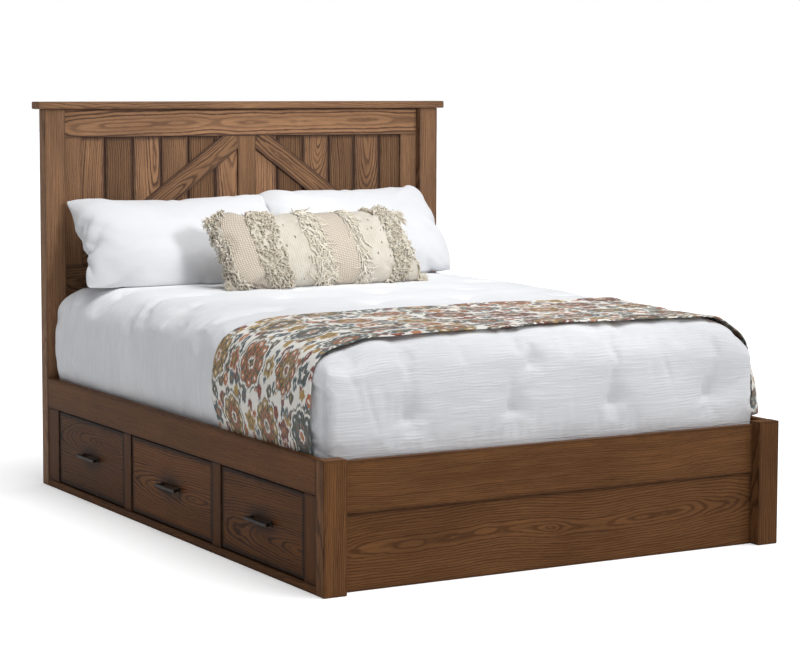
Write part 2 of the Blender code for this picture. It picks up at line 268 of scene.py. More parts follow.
def new_material(name):
    material = bpy.data.materials.new(name)
    material.use_nodes = True
    return Graph(material.node_tree, material), material.node_tree.nodes["Principled BSDF"]


# ---------------------------------------------------------------- wood

OAK_LIGHT = (0.215, 0.097, 0.037)
OAK_MIDDLE = (0.142, 0.062, 0.024)
OAK_DARK = (0.050, 0.022, 0.011)
OAK_BURNT = (0.018, 0.010, 0.008)


def make_oak_group():
    """Flat-sawn oak: rings round a wandering pith, open pores, fibres and burnished edges.

    Point runs along the grain in X, across the face in Y and through it in Z, from the
    board's middle. Half holds the board's half sizes in those directions. Pith holds how far
    the pith sinks per metre along the board, then its offset across and below the middle.
    """
    tree = bpy.data.node_groups.new("oak_figure", "ShaderNodeTree")
    sockets = (
        ("Point", "Vector"), ("Half", "Vector"), ("Pith", "Vector"),
        ("Seed", "Float"), ("Ring gap", "Float"), ("Swirl", "Float"), ("Bold", "Float"),
        ("Tone", "Float"), ("Burnish", "Float"),
    )
    for name, kind in sockets:
        tree.interface.new_socket(name, in_out="INPUT", socket_type="NodeSocket" + kind)
    for name, kind in (("Colour", "Color"), ("Roughness", "Float"), ("Height", "Float")):
        tree.interface.new_socket(name, in_out="OUTPUT", socket_type="NodeSocket" + kind)
    g = Graph(tree)
    given = tree.nodes.new("NodeGroupInput").outputs
    out = tree.nodes.new("NodeGroupOutput").inputs
    point, seed = given["Point"], given["Seed"]
    along, across, deep = g.split(point)
    shift = g.join(g.mul(seed, 1.73), g.mul(seed, 3.1), seed)

    def field(x, y, z, detail=2.0, rough=0.5):
        """Noise whose cells are stretched by the three rates per metre, from -1 to 1."""
        at = g.vector("MULTIPLY_ADD", point, (x, y, z), shift)
        return g.fma(g.noise(at, detail=detail, rough=rough), 2.0, -1.0)

    taper, pith_across, pith_deep = g.split(given["Pith"])
    sway = g.fma(field(1.3, 0.5, 0.5, 1.0), 0.050, pith_across)
    dive = g.fma(field(1.9, 1.0, 1.0, 2.0), given["Swirl"], pith_deep)
    dive = g.fma(along, taper, dive)
    ripple = g.mul(field(9.0, 34.0, 34.0, 3.0, 0.62), 0.0062)
    across_pith = g.add(across, sway)
    deep_pith = g.add(deep, dive)
    radius = g.math("SQRT", g.add(g.mul(across_pith, across_pith), g.mul(deep_pith, deep_pith)))
    radius = g.add(radius, ripple)
    ring = g.div(radius, given["Ring gap"])
    uneven = g.noise(g.join(ring, seed, 0.0), scale=0.33, detail=1.0)
    ring = g.add(ring, g.mul(uneven, 1.6))
    place = g.math("FRACT", ring)
    line = g.mul(g.smooth(place, 0.0, 0.16), g.smooth(place, 0.66, 0.24))
    strength = g.smooth(g.noise(g.join(g.math("FLOOR", ring), seed, 3.0), detail=0.0), 0.3, 0.62)
    line = g.mul(line, g.fma(strength, 0.6, 0.4))

    pore = g.smooth(field(52.0, 1100.0, 1100.0, 1.0), 0.12, 0.42)
    pore = g.mul(pore, g.fma(line, 0.85, 0.22), clamp=True)
    fibre = g.fma(field(9.0, 210.0, 210.0, 4.0, 0.65), 0.5, 0.5)
    streak = g.fma(field(3.2, 46.0, 46.0, 2.0), 0.5, 0.5)
    patch = g.fma(field(2.6, 7.0, 7.0, 2.0), 0.5, 0.5)

    base = g.mix(g.smooth(fibre, 0.25, 0.75), OAK_MIDDLE, OAK_LIGHT)
    base = g.mix(g.mul(g.smooth(streak, 0.42, 0.72), 0.45), base, OAK_MIDDLE)
    base = g.mix(g.mul(line, given["Bold"]), base, OAK_DARK)
    base = g.mix(g.mul(pore, 0.70), base, OAK_DARK)
    base = g.mix(g.mul(g.smooth(patch, 0.40, 0.75), 0.30), base, OAK_DARK)

    half_along, half_across, half_deep = g.split(given["Half"])
    a = g.sub(half_along, g.math("ABSOLUTE", along))
    b = g.sub(half_across, g.math("ABSOLUTE", across))
    c = g.sub(half_deep, g.math("ABSOLUTE", deep))
    edge = g.math("MINIMUM", g.math("MAXIMUM", a, b), c)
    nearest = g.math("MAXIMUM", g.math("MINIMUM", a, b), edge)
    wander = field(26.0, 26.0, 26.0, 3.0)
    nearest = g.fma(wander, 0.006, nearest)
    width = g.fma(given["Burnish"], 0.022, 0.004)
    burn = g.mul(g.smooth(nearest, width, 0.0), given["Burnish"])
    base = g.mix(burn, base, OAK_BURNT)
    g.put(out["Colour"], g.mix(1.0, base, g.join(*[given["Tone"]] * 3), "MULTIPLY"))
    rough = g.fma(pore, 0.22, 0.36)
    g.put(out["Roughness"], g.fma(fibre, 0.08, rough))
    relief = g.fma(pore, -1.0, g.mul(fibre, 0.25))
    g.put(out["Height"], g.fma(line, -0.2, relief))
    return tree


OAK_GROUP = make_oak_group()
FLAT, STRAIGHT = (0.085, 0.0, 0.030), (0.0, 0.42, 0.06)


def oak(name, centre, half, grain, seed, pith=FLAT, gap=0.0060, tone=1.0, burnish=0.45,
        bold=0.66, tint=(1.0, 1.0, 1.0), swirl=0.034, lean=0.0, finish=None):
    """Oak for one board: centre and half sizes in the bed's frame, grain as an axis letter.

    bold sets how dark the ring lines are, swirl how far the figure wanders, tone and tint
    scale the colour. lean turns the board about the Y axis through its centre. finish may
    change the point, the seed and the colour for boards that stand for several planks or
    carry a pull.
    """
    g, shader = new_material(name)
    order = "XYZ".index(grain)
    others = sorted((i for i in range(3) if i != order), key=lambda i: -half[i])
    axes = (order, *others)
    local = g.vector("SUBTRACT", g.object_point(), tuple(centre))
    if lean:
        turn = g.node("VectorRotate", rotation_type="Y_AXIS")
        g.put(turn.inputs["Vector"], local)
        turn.inputs["Angle"].default_value = lean
        local = turn.outputs[0]
    parts = g.split(local)
    point = g.join(*[parts[i] for i in axes])
    half = [half[i] for i in axes]
    values = {"Point": point, "Half": half, "Pith": pith, "Seed": seed, "Ring gap": gap,
              "Swirl": swirl, "Bold": bold, "Tone": tone, "Burnish": burnish}
    if finish:
        values.update(finish(g, point, half, seed))
    figure = g.node("Group", node_tree=OAK_GROUP)
    for key, value in values.items():
        if key in figure.inputs:
            g.put(figure.inputs[key], value)
    colour = g.mix(1.0, figure.outputs["Colour"], tint, "MULTIPLY")
    if "Shade" in values:
        colour = g.mix(values["Shade"], colour, OAK_BURNT)
    g.shade(shader, colour, figure.outputs["Roughness"],
            g.bump(figure.outputs["Height"], 0.35, 0.0006), specular=0.05)
    return g.material


def box_of(node):
    low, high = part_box(node)
    return (low + high) / 2, [(high[i] - low[i]) / 2 for i in range(3)]


def wear(node, material):
    NODES[node].data.materials.clear()
    NODES[node].data.materials.append(material)


def plank_split(first_groove, pitch, count):
    """Gives each plank of a panel its own centre line, ring pattern and tone."""

    def finish(g, point, half, seed):
        along, across, deep = g.split(point)
        run = g.div(g.add(across, half[1] - first_groove), pitch)
        index = g.math("MINIMUM", g.math("MAXIMUM", g.math("CEIL", run), 0.0), count - 1.0)
        middle = g.fma(index, pitch, first_groove - half[1] - pitch / 2)
        local = g.sub(across, middle)
        own = g.node("TexWhiteNoise", noise_dimensions="1D")
        g.put(own.inputs["W"], g.add(index, seed))
        red, green, blue = g.split(own.outputs["Color"])
        taper = g.fma(g.math("GREATER_THAN", green, 0.5), 0.20, -0.10)
        pith = g.join(taper, g.fma(g.smooth(red, 0.50, 0.56), 0.30, g.fma(green, 0.05, -0.025)),
                      0.045)
        return {
            "Point": g.join(along, local, deep),
            "Half": (half[0], pitch / 2, half[2]),
            "Seed": g.fma(index, 5.37, seed),
            "Pith": pith,
            "Tone": g.fma(blue, 0.85, 0.78),
        }

    return finish


def pull_shade(g, point, _half, _seed):
    """Darkened finish round the pull in the middle of a drawer front."""
    along, across, _ = g.split(point)
    far = g.vector("LENGTH", g.join(g.div(along, 0.125), g.div(across, 0.055), 0.0))
    ragged = g.fma(g.noise(point, scale=22.0, detail=3.0), 0.5, far)
    return {"Shade": g.mul(g.smooth(ragged, 1.45, 0.45), 0.72)}


# HEAD_PAINTED_SHEEN_TINT is painted sheen: it makes the whole headboard paler and greyer, standing in
# for the glossy haze of highlights on it.
SIDE_TINT, DRAWER_TINT, HEAD_PAINTED_SHEEN_TINT = (1.00, 0.90, 0.74), (1.00, 0.82, 0.54), (1.13, 1.38, 1.90)
DRAWER_TONES = {1: 0.84, 2: 0.97, 3: 0.68}


SEED_STEP = 2.71
PLANK_FIRST_GROOVE, PLANK_PITCH, PLANK_COUNT = 0.095, 0.1125, 6
BRACE_RISE, BRACE_RUN, BRACE_HALF_WIDTH = 0.47, 0.635, 0.040


def dress_wood():
    """Gives every oak node of the frame its own board."""
    seed = 1.0
    plan = [
        # node, grain, pith, ring gap, swirl, bold, tone, burnish
        # The cap and top rail tones well above 1 are painted light: they make the top of the
        # headboard lighter, as if more of the beam fell on it.
        ("head_cap", "X", (0.02, 0.10, 0.05), 0.0055, 0.03, 0.60, 1.32, 0.20),
        ("head_top_rail", "X", (0.020, 0.0, 0.0), 0.0145, 0.100, 0.98, 1.60, 0.45),
        ("head_bottom_rail", "X", FLAT, 0.0065, 0.034, 0.80, 1.0, 0.42),
        ("head_lower_rail", "X", FLAT, 0.0065, 0.034, 0.80, 1.0, 0.42),
        ("head_stile_centre", "Z", STRAIGHT, 0.0058, 0.034, 0.60, 1.06, 0.30),
        ("foot_rail", "X", (0.03, 0.11, 0.045), 0.0056, 0.034, 0.50, 1.02, 0.40),
        ("foot_panel", "X", (0.060, -0.01, 0.012), 0.0078, 0.060, 0.72, 1.02, 0.40),
    ]
    for side, _ in SIDES:
        tone = 1.10 if side == "left" else 0.98
        plan += [(f"foot_post_{side}", "Z", STRAIGHT, 0.0068, 0.034, 0.80, tone, 0.30)]
        # The head post and head stile tone of 1.36 is painted light from the headboard beam.
        plan += [(f"{part}_{side}", "Z", STRAIGHT, 0.0062, 0.034, 0.72, 1.36, 0.35)
                 for part in ("head_post", "head_stile")]
        plan += [(f"{part}_{side}", "Y", (0.02, 0.10, 0.05), 0.0058, 0.034, 0.62, 1.0, 0.40)
                 for part in ("side_rail", "base_rail")]
        plan += [(f"face_stile_{side}_{n}", "Z", STRAIGHT, 0.0056, 0.034, 0.70, 0.69, 0.50)
                 for n in (1, 2, 3, 4)]
    for name, grain, pith, gap, swirl, bold, tone, burnish in plan:
        seed += SEED_STEP
        centre, half = box_of(name)
        tone *= 0.96 + 0.08 * ((seed * 0.618) % 1.0)
        # The head tint is painted sheen on every headboard board.
        tint = {"head": HEAD_PAINTED_SHEEN_TINT, "face": DRAWER_TINT, "side": SIDE_TINT,
                "base": SIDE_TINT}.get(name[:4], (1.0, 1.0, 1.0))
        wear(name, oak(name + "_oak", centre, half, grain, seed, pith, gap, tone, burnish,
                       bold, tint, swirl))
    for name in DRAWERS:
        seed += SEED_STEP
        front = name + "_front"
        centre, half = box_of(front)
        pith = (0.10, 0.05 * math.sin(seed * 1.7), 0.035)
        made = oak(front + "_oak", centre, half, "Y", seed, pith, 0.0078,
                   DRAWER_TONES[int(name[-1])], 1.0, 1.0, DRAWER_TINT, 0.045, finish=pull_shade)
        wear(front, made)
    for side, _ in SIDES:
        seed += SEED_STEP
        name = f"head_planks_{side}"
        centre, half = box_of(name)
        finish = plank_split(PLANK_FIRST_GROOVE, PLANK_PITCH, PLANK_COUNT)
        # The planks take the painted sheen tint too.
        wear(name, oak(name + "_oak", centre, half, "Z", seed, FLAT, 0.0078, 1.0, 0.70,
                       0.95, HEAD_PAINTED_SHEEN_TINT, 0.040, finish=finish))
    for side, sign in SIDES:
        seed += SEED_STEP
        name = f"head_brace_{side}"
        centre, half = box_of(name)
        slope = math.atan2(BRACE_RISE, BRACE_RUN)
        length = math.hypot(half[0], half[2])
        # The braces take the painted sheen tint too.
        made = oak(name + "_oak", centre, (length, half[1], BRACE_HALF_WIDTH), "X", seed,
                   (0.06, 0.01, 0.01), 0.0085, 1.15, 0.60, 0.95, HEAD_PAINTED_SHEEN_TINT, 0.055,
                   lean=-sign * slope)
        wear(name, made)


BIRCH_LIGHT, BIRCH_DARK = (0.62, 0.45, 0.28), (0.44, 0.29, 0.165)


def birch(name, grain):
    """Pale clear-finished birch, with soft figure and fine dark flecks along the grain."""
    g, shader = new_material(name)
    rates = [120.0] * 3
    rates["XYZ".index(grain)] = 5.0
    point = g.object_point()
    fine = g.noise(g.stretch(point, tuple(rates)), detail=3.0, rough=0.6)
    broad = g.noise(g.stretch(point, tuple(r * 0.16 for r in rates)), detail=2.0)
    rings = g.math("SINE", g.mul(broad, 46.0))
    rings = g.fma(rings, 0.5, 0.5)
    fleck = g.smooth(g.noise(g.stretch(point, tuple(r * 6.0 for r in rates))), 0.68, 0.78)
    colour = g.mix(g.mul(rings, 0.35), BIRCH_LIGHT, BIRCH_DARK)
    colour = g.mix(g.smooth(fine, 0.45, 0.75), colour, BIRCH_DARK)
    colour = g.mix(g.mul(fleck, 0.4), colour, (0.22, 0.12, 0.06))
    g.shade(shader, colour, g.fma(fine, 0.15, 0.42), g.bump(fine, 0.2, 0.0004))
    return g.material


def bronze():
    """Near-black oil-rubbed bronze, with warm wear showing through in places."""
    g, shader = new_material("oil_rubbed_bronze")
    point = g.object_point()
    cloud = g.noise(point, scale=70.0, detail=4.0)
    grain = g.noise(point, scale=900.0, detail=2.0)
    colour = g.mix(g.smooth(cloud, 0.45, 0.8), (0.016, 0.012, 0.010), (0.075, 0.040, 0.022))
    g.shade(shader, colour, g.fma(grain, 0.20, 0.30), g.bump(grain, 0.15, 0.0002), metallic=0.75)
    return g.material


def dress_inside():
    """Birch on the boxes, runners, deck and centre support, and bronze on the pulls."""
    along_x, along_y, upright = (birch(f"birch_{a.lower()}", a) for a in "XYZ")
    for name in ("platform_deck", "drawer_runner_1", "drawer_runner_2", "drawer_runner_3"):
        wear(name, along_x)
    wear("centre_beam", along_y)
    for name in ("centre_leg_front", "centre_leg_rear"):
        wear(name, upright)
    metal = bronze()
    for name in DRAWERS:
        wear(name + "_box", along_x)
        wear(name + "_pull", metal)


# ---------------------------------------------------------------- cloth tools


def add_mesh(name, points, faces, material, smooth=True):
    mesh = bpy.data.meshes.new(name)
    mesh.from_pydata([tuple(p) for p in points], [], [tuple(f) for f in faces])
    mesh.materials.append(material)
    if smooth:
        mesh.shade_smooth()
    obj = bpy.data.objects.new(name, mesh)
    bpy.context.scene.collection.objects.link(obj)
    return obj


def points_of(obj):
    flat = np.empty(len(obj.data.vertices) * 3)
    obj.data.vertices.foreach_get("co", flat)
    return flat.reshape(-1, 3)


def normals_of(obj):
    flat = np.empty(len(obj.data.vertices) * 3)
    obj.data.vertex_normals.foreach_get("vector", flat)
    return flat.reshape(-1, 3)


def place_points(obj, points):
    obj.data.vertices.foreach_set("co", np.ascontiguousarray(points, float).ravel())
    obj.data.update()


def store(obj, name, vectors):
    """Keeps a vector for each point, which the material reads as an attribute."""
    layer = obj.data.attributes.new(name, "FLOAT_VECTOR", "POINT")
    layer.data.foreach_set("vector", np.ascontiguousarray(vectors, float).ravel())


def read(obj, name):
    flat = np.empty(len(obj.data.vertices) * 3)
    obj.data.attributes[name].data.foreach_get("vector", flat)
    return flat.reshape(-1, 3)


def keep_result(obj):
    """Applies the modifiers of an object."""
    graph = bpy.context.evaluated_depsgraph_get()
    made = bpy.data.meshes.new_from_object(obj.evaluated_get(graph), depsgraph=graph)
    obj.modifiers.clear()
    obj.data = made


def subdivide(obj, levels=1):
    step = obj.modifiers.new("finer", "SUBSURF")
    step.levels = step.render_levels = levels
    keep_result(obj)


def inflate(obj, pressure, frames, cap, pinned=None, slack=0.0, stiffness=15.0, bending=0.5):
    """Swells a padded piece by cloth simulation; no point moves further than cap."""
    start = points_of(obj)
    cloth = obj.modifiers.new("cloth", "CLOTH")
    made = cloth.settings
    made.quality = 6
    made.mass = 0.3
    made.air_damping = 2.0
    made.tension_stiffness = made.compression_stiffness = stiffness
    made.shear_stiffness = stiffness / 3
    made.bending_stiffness = bending
    made.shrink_min = -slack
    made.use_pressure = True
    made.uniform_pressure_force = pressure
    made.effector_weights.gravity = 0.0
    cloth.collision_settings.use_collision = False
    if pinned is not None:
        group = obj.vertex_groups.new(name="pinned")
        for index in np.flatnonzero(pinned > 0.01):
            group.add([int(index)], float(pinned[index]), "REPLACE")
        made.vertex_group_mass = group.name
    cloth.point_cache.frame_start = 1
    cloth.point_cache.frame_end = frames
    scene = bpy.context.scene
    for number in range(1, frames + 1):
        scene.frame_set(number)
    keep_result(obj)
    obj.vertex_groups.clear()
    moved = points_of(obj) - start
    length = np.maximum(np.linalg.norm(moved, axis=1, keepdims=True), 1e-9)
    held = cap * np.tanh(length / cap)
    place_points(obj, start + moved / length * held)
    scene.frame_set(1)


def wave_noise(points, rates, seed, count=14):
    """Smooth repeatable noise from -1 to 1 at points, with about rates waves per metre."""
    rng = np.random.default_rng(seed)
    total = np.zeros(len(points))
    for _ in range(count):
        turn = rng.normal(size=3) * np.array(rates) * 2 * math.pi * 0.6
        total += np.sin(points @ turn + rng.uniform(0, 2 * math.pi))
    return total / math.sqrt(count) / 1.4


def smooth_step(value, low, high):
    t = np.clip((value - low) / (high - low), 0.0, 1.0)
    return t * t * (3 - 2 * t)


# ---------------------------------------------------------------- bedding

COMFORTER_CELLS = (98, 94, 28)
EDGE_SIDE, EDGE_FOOT, EDGE_HEAD, EDGE_TOP = 0.115, 0.075, 0.115, 0.100
CORNER_POWERS = (5.0, 3.0)
CROWN = 0.010
TUFT_GAP, TUFT_FIRST = 0.3637, -0.509
TUFT_ROW = 0.490
TUFT_DEPTH = 0.017
PLEAT_X = -0.772


def rounded_lattice(low, high, cells, radii, powers):
    """Top and sides of a box as a rounded lattice: points, quads and fabric coordinates.

    radii are of the side, foot, head and top edges; powers are of the left and the right
    corners, and a larger one gives a squarer corner in plan. The fabric coordinates run
    across and along, and go on down the sides.
    """
    nx, ny, nz = cells
    i, j, k = np.meshgrid(*[np.arange(n + 1) for n in cells], indexing="ij")
    outside = (i == 0) | (i == nx) | (j == 0) | (j == ny) | (k == nz)
    index = np.full(outside.shape, -1)
    index[outside] = np.arange(outside.sum())
    share = np.stack([i / nx, j / ny, k / nz], -1)[outside]
    low, high = np.array(low), np.array(high)
    box = low + share * (high - low)

    side, foot, head, top = radii
    core = np.clip(box, low + (side, foot, -1.0), high - (side, head, top))
    radius = np.full_like(box, side)
    radius[:, 1] = np.where(share[:, 1] < 0.5, foot, head)
    radius[:, 2] = top
    away = (box - core) / radius
    power = np.where(share[:, 0] < 0.5, *powers)
    plan = np.abs(away[:, 0]) ** power + np.abs(away[:, 1]) ** power
    norm = np.sqrt(plan ** (2 / power) + away[:, 2] ** 2)
    points = core + radius * away / np.maximum(norm, 1e-9)[:, None]

    drop = high[2] - box[:, 2]
    beside = (share[:, 0] == 1) * 1.0 - (share[:, 0] == 0)
    ahead = (share[:, 1] == 1) * 1.0 - (share[:, 1] == 0)
    fabric = np.stack([box[:, 0] + beside * drop * (ahead == 0), box[:, 1] + ahead * drop,
                       np.zeros(len(box))], -1)

    quads = []
    sheets = ((index[:, :, nz], False), (index[0], True), (index[nx], False),
              (index[:, 0], False), (index[:, ny], True))
    for sheet, flipped in sheets:
        a, b, c, d = sheet[:-1, :-1], sheet[1:, :-1], sheet[1:, 1:], sheet[:-1, 1:]
        quad = np.stack([a, d, c, b] if flipped else [a, b, c, d], -1)
        quads.append(quad.reshape(-1, 4))
    return points, np.concatenate(quads), fabric


def tufts(low, high):
    """Places of the sewn tufts in fabric coordinates, with how deep each pulls."""
    rng = np.random.default_rng(5)
    foot_drop = low[1] - (high[2] - TUFT_ROW)
    spots = []
    for row in range(9):
        along = foot_drop + row * 0.2725
        start = TUFT_FIRST if row % 2 == 0 else TUFT_FIRST - TUFT_GAP / 2
        for column in range(-1, 6):
            across = start + column * TUFT_GAP
            if abs(across) < 1.05:
                deep = 1.0 if row == 0 else 0.4
                spots.append((across, along, deep * rng.uniform(0.85, 1.1)))
    spots.append((-0.087, low[1] - (high[2] - 0.628), 0.30))
    return spots


def make_comforter():
    low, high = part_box("comforter")
    radii = (EDGE_SIDE, EDGE_FOOT, EDGE_HEAD, EDGE_TOP)
    points, quads, fabric = rounded_lattice(low, high, COMFORTER_CELLS, radii, CORNER_POWERS)
    top = smooth_step(points[:, 2], high[2] - EDGE_TOP, high[2])
    middle = 1 - np.abs(points[:, 0] / high[0]) ** 2.4
    points[:, 2] += CROWN * top * (middle - 0.35)
    comforter = add_mesh("quilt", points, quads, cotton_quilt())
    normals = normals_of(comforter)

    hem = smooth_step(points[:, 2], 0.44, 0.385)
    bulge = np.sin(np.pi * np.clip((points[:, 2] - low[2]) / (high[2] - low[2]), 0, 1))
    side_face = np.abs(normals[:, 0]) > np.abs(normals[:, 1])
    hang = 0.004 + 0.012 * smooth_step(points[:, 1], 0.1, 0.9) * (points[:, 0] < 0)
    out = np.where(side_face, hang, 0.009) * bulge * (1 - top)
    pinned = hem.copy()
    sink = np.zeros(len(points))
    for across, along, deep in tufts(low, high):
        far = np.hypot(fabric[:, 0] - across, fabric[:, 1] - along)
        sink = np.maximum(sink, deep * np.exp(-(far / 0.027) ** 1.5))
        pinned = np.maximum(pinned, (far < 0.017) * 1.0)
    points = points + normals * (out - sink * TUFT_DEPTH)[:, None]
    place_points(comforter, points)
    store(comforter, "fabric", fabric)
    inflate(comforter, 1.3, 18, 0.009, pinned, slack=0.030, stiffness=12.0, bending=0.15)
    subdivide(comforter)
    crease(comforter, low, high)
    close_under(comforter, low)
    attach(comforter, ROOT)
    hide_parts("comforter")
    return comforter


def crease(comforter, low, high):
    """Folds after the swelling: puckers round the tufts, upright creases, corner pleats."""
    rng = np.random.default_rng(11)
    points, normals, fabric = points_of(comforter), normals_of(comforter), read(comforter, "fabric")
    move = np.zeros(len(points))
    for across, along, deep in tufts(low, high):
        dx, dy = fabric[:, 0] - across, fabric[:, 1] - along
        far, turn = np.hypot(dx, dy), np.arctan2(dy, dx)
        near = far < 0.20
        folds = sum(
            np.exp(-((np.angle(np.exp(1j * (turn - rng.uniform(-math.pi, math.pi))))) * far
                     / 0.010) ** 2) * rng.uniform(0.5, 1.0)
            for _ in range(7)
        )
        fade = np.exp(-(far / 0.055) ** 1.5) * smooth_step(far, 0.004, 0.02)
        move -= near * folds * fade * 0.0035 * deep
    for across, along, deep in tufts(low, high):
        if along < low[1] - 0.05:
            dx, up = fabric[:, 0] - across, fabric[:, 1] - along
            pocket = np.exp(-(dx / (0.011 + 0.25 * np.clip(up, 0, 0.05))) ** 2
                            - (np.clip(up, 0, None) / 0.040) ** 2
                            - (np.clip(-up, 0, None) / 0.007) ** 2)
            lip = np.exp(-(dx / 0.032) ** 2 - ((up + 0.020) / 0.013) ** 2)
            move += deep * (0.0060 * lip - 0.0170 * pocket)
    upright = (
        # across, slope, start and end down the foot, width, depth
        (-0.690, 0.34, 0.05, 0.24, 0.010, 0.0036), (-0.652, 0.22, 0.09, 0.31, 0.008, 0.0040),
        (-0.605, 0.16, 0.12, 0.28, 0.012, 0.0034), (-0.562, 0.05, 0.17, 0.30, 0.009, 0.0026),
        (0.362, 0.16, 0.10, 0.20, 0.009, 0.0024), (0.412, 0.22, 0.08, 0.23, 0.009, 0.0036),
        (0.060, 0.10, 0.20, 0.30, 0.008, 0.0018),
    )
    drop = low[1] - fabric[:, 1]
    for across, slope, start, end, width, deep in upright:
        line = across + slope * (drop - 0.15) + 0.005 * np.sin(drop * 34 + across * 50)
        along = smooth_step(drop, start, start + 0.06) * smooth_step(drop, end, end - 0.08)
        move -= deep * np.exp(-((fabric[:, 0] - line) / width) ** 2) * along
    pleat = PLEAT_X - 0.045 * smooth_step(points[:, 2], 0.570, 0.650)
    inside = (normals[:, 1] < -0.02) & (points[:, 1] < -0.9)
    folded = smooth_step(points[:, 2], 0.680, 0.600) * inside
    beyond = pleat - points[:, 0]
    move -= folded * 0.0095 * smooth_step(beyond, -0.003, 0.006)
    move += folded * 0.0030 * np.exp(-((beyond + 0.012) / 0.010) ** 2)
    small = np.sin(points[:, 2] * 2 * math.pi / 0.024 + 2.0 * np.sin(points[:, 2] * 60))
    move += folded * (beyond > 0.006) * 0.0012 * small
    broad = wave_noise(points, (1.6, 3.4, 4.0), 3) * 0.0034
    fine = wave_noise(points, (3.0, 13.0, 11.0), 4) * 0.0014
    lively = 0.35 + 0.65 * smooth_step(high[2] - points[:, 2], 0.0, 0.10)
    move += (broad + fine) * lively
    held = smooth_step(points[:, 2], 0.36, 0.42)
    points = points + normals * (move * held)[:, None]
    place_points(comforter, points + slump(points, high[2]))


def slump(points, top):
    """How far the top and the shoulders settle toward the foot, most on the right."""
    x, y, z = points.T
    near_foot = smooth_step(y, 0.2, -0.95)
    near_top = np.clip((z - 0.55) / (top - 0.54), 0, 1)
    left = 0.026 * np.exp(-((x + 0.715) / 0.085) ** 2)
    right = 0.050 * smooth_step(x, 0.60, 0.82)
    down = near_foot * near_top * (0.015 + left + right)
    inward = near_foot * 0.021 * smooth_step(z, 0.42, 0.66) * smooth_step(x, 0.60, 0.80)
    return np.stack([-inward, np.zeros(len(x)), -down], -1)


def rim_loop(mesh):
    """The points round the open edge of a mesh, in order."""
    uses = {}
    for polygon in mesh.polygons:
        for key in polygon.edge_keys:
            uses[key] = uses.get(key, 0) + 1
    beside = {}
    for (a, b), count in uses.items():
        if count == 1:
            beside.setdefault(a, []).append(b)
            beside.setdefault(b, []).append(a)
    loop = [min(beside)]
    loop.append(min(beside[loop[0]]))
    while loop[-1] != loop[0]:
        a, b = beside[loop[-1]]
        loop.append(b if a == loop[-2] else a)
    return loop[:-1]


def close_under(comforter, low):
    """Turns the hem in and closes the comforter against the mattress."""
    inner_low, inner_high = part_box("mattress")
    mesh = comforter.data
    loop = rim_loop(mesh)
    bm = bmesh.new()
    bm.from_mesh(mesh)
    bm.verts.ensure_lookup_table()
    ring = [bm.verts[i] for i in loop]
    starts = [v.co.copy() for v in ring]
    middle, half = (inner_low + inner_high) / 2, (inner_high - inner_low) / 2
    rings = (
        # way in from the hem to the mattress, way in over its edge, height
        (0.45, 0.0, low[2] - 0.004), (1.0, 0.0, low[2]), (1.0, 0.0, 0.45), (1.0, 0.0, 0.585),
        (1.0, 0.030, 0.650), (1.0, 0.075, 0.685), (1.0, 0.150, 0.7008),
    )
    for share, inset, height in rings:
        fresh = []
        for start in starts:
            inner = Vector((max(inner_low.x - 0.002, min(inner_high.x + 0.002, start.x)),
                            max(inner_low.y - 0.002, min(inner_high.y + 0.002, start.y)), 0.0))
            place = start.lerp(inner, share)
            fresh.append(bm.verts.new((
                middle.x + (place.x - middle.x) * (1 - inset / half.x),
                middle.y + (place.y - middle.y) * (1 - inset / half.y), height)))
        for here in range(len(ring)):
            after = (here + 1) % len(ring)
            bm.faces.new((ring[here], ring[after], fresh[after], fresh[here]))
        ring = fresh
    bm.faces.new(ring)
    bmesh.ops.recalc_face_normals(bm, faces=bm.faces)
    bm.to_mesh(mesh)
    bm.free()
    mesh.shade_smooth()


def cloth_shader(name, light, dark, weave, crinkle, sheen=0.15, pucker=None):
    """Woven cotton. crinkle is (attribute, waves across, waves along, depth) of its puckers.

    pucker is the distance between the long wavy ridges of a crinkled weave.
    """
    g, shader = new_material(name)
    layer, across, along, depth = crinkle
    fabric = g.attribute(layer) if layer else g.object_point()
    rows = g.noise(g.stretch(fabric, (across, along, along)), detail=3.0, rough=0.55,
                   distortion=0.3)
    cloud = g.noise(g.stretch(fabric, (3.0, 4.0, 4.0)), detail=2.0)
    u, v, w = g.split(fabric)
    if pucker:
        drift = g.noise(g.stretch(fabric, (5.5, 12.0, 1.0)), detail=3.0)
        turn = g.fma(v, 2 * math.pi / pucker, g.mul(drift, 24.0))
        ridge = g.math("POWER", g.fma(g.math("SINE", turn), 0.5, 0.5), 1.7)
        lively = g.noise(g.stretch(fabric, (9.0, 44.0, 1.0)), detail=2.0)
        ridge = g.mul(ridge, g.smooth(lively, 0.40, 0.64))
        rows = g.fma(ridge, 0.27, g.mul(rows, 0.80))
    thread = [g.math("SINE", g.mul(axis, weave)) for axis in (u, g.add(v, w))]
    grid = g.mul(*thread)
    slub = g.noise(g.stretch(fabric, (60.0, 700.0, 700.0)), detail=2.0)
    # Partly painted shade: tone mixes a random cloud with the crinkle rows, so the cloth is greyer in
    # the valleys of its puckers and wrinkles and whiter on the ridges that the bump raises.
    tone = g.fma(cloud, 0.5, g.mul(rows, 0.5))
    colour = g.mix(g.smooth(tone, 0.35, 0.68), dark, light)
    colour = g.mix(g.mul(g.smooth(slub, 0.6, 0.8), 0.12), colour, dark)
    fine = g.fma(grid, 0.05, g.mul(slub, 0.12))
    height = g.add(g.mul(rows, 1.0), fine)
    g.shade(shader, colour, g.fma(slub, 0.12, 0.80), g.bump(height, 0.6, depth), sheen=sheen,
            sheen_roughness=0.5, specular=0.2)
    return g


# The quilt's grey is partly random mottle and partly painted shade in the crinkle valleys.
WHITE, GREY_MOTTLE_AND_CREASE_SHADE = (0.87, 0.875, 0.89), (0.77, 0.78, 0.81)


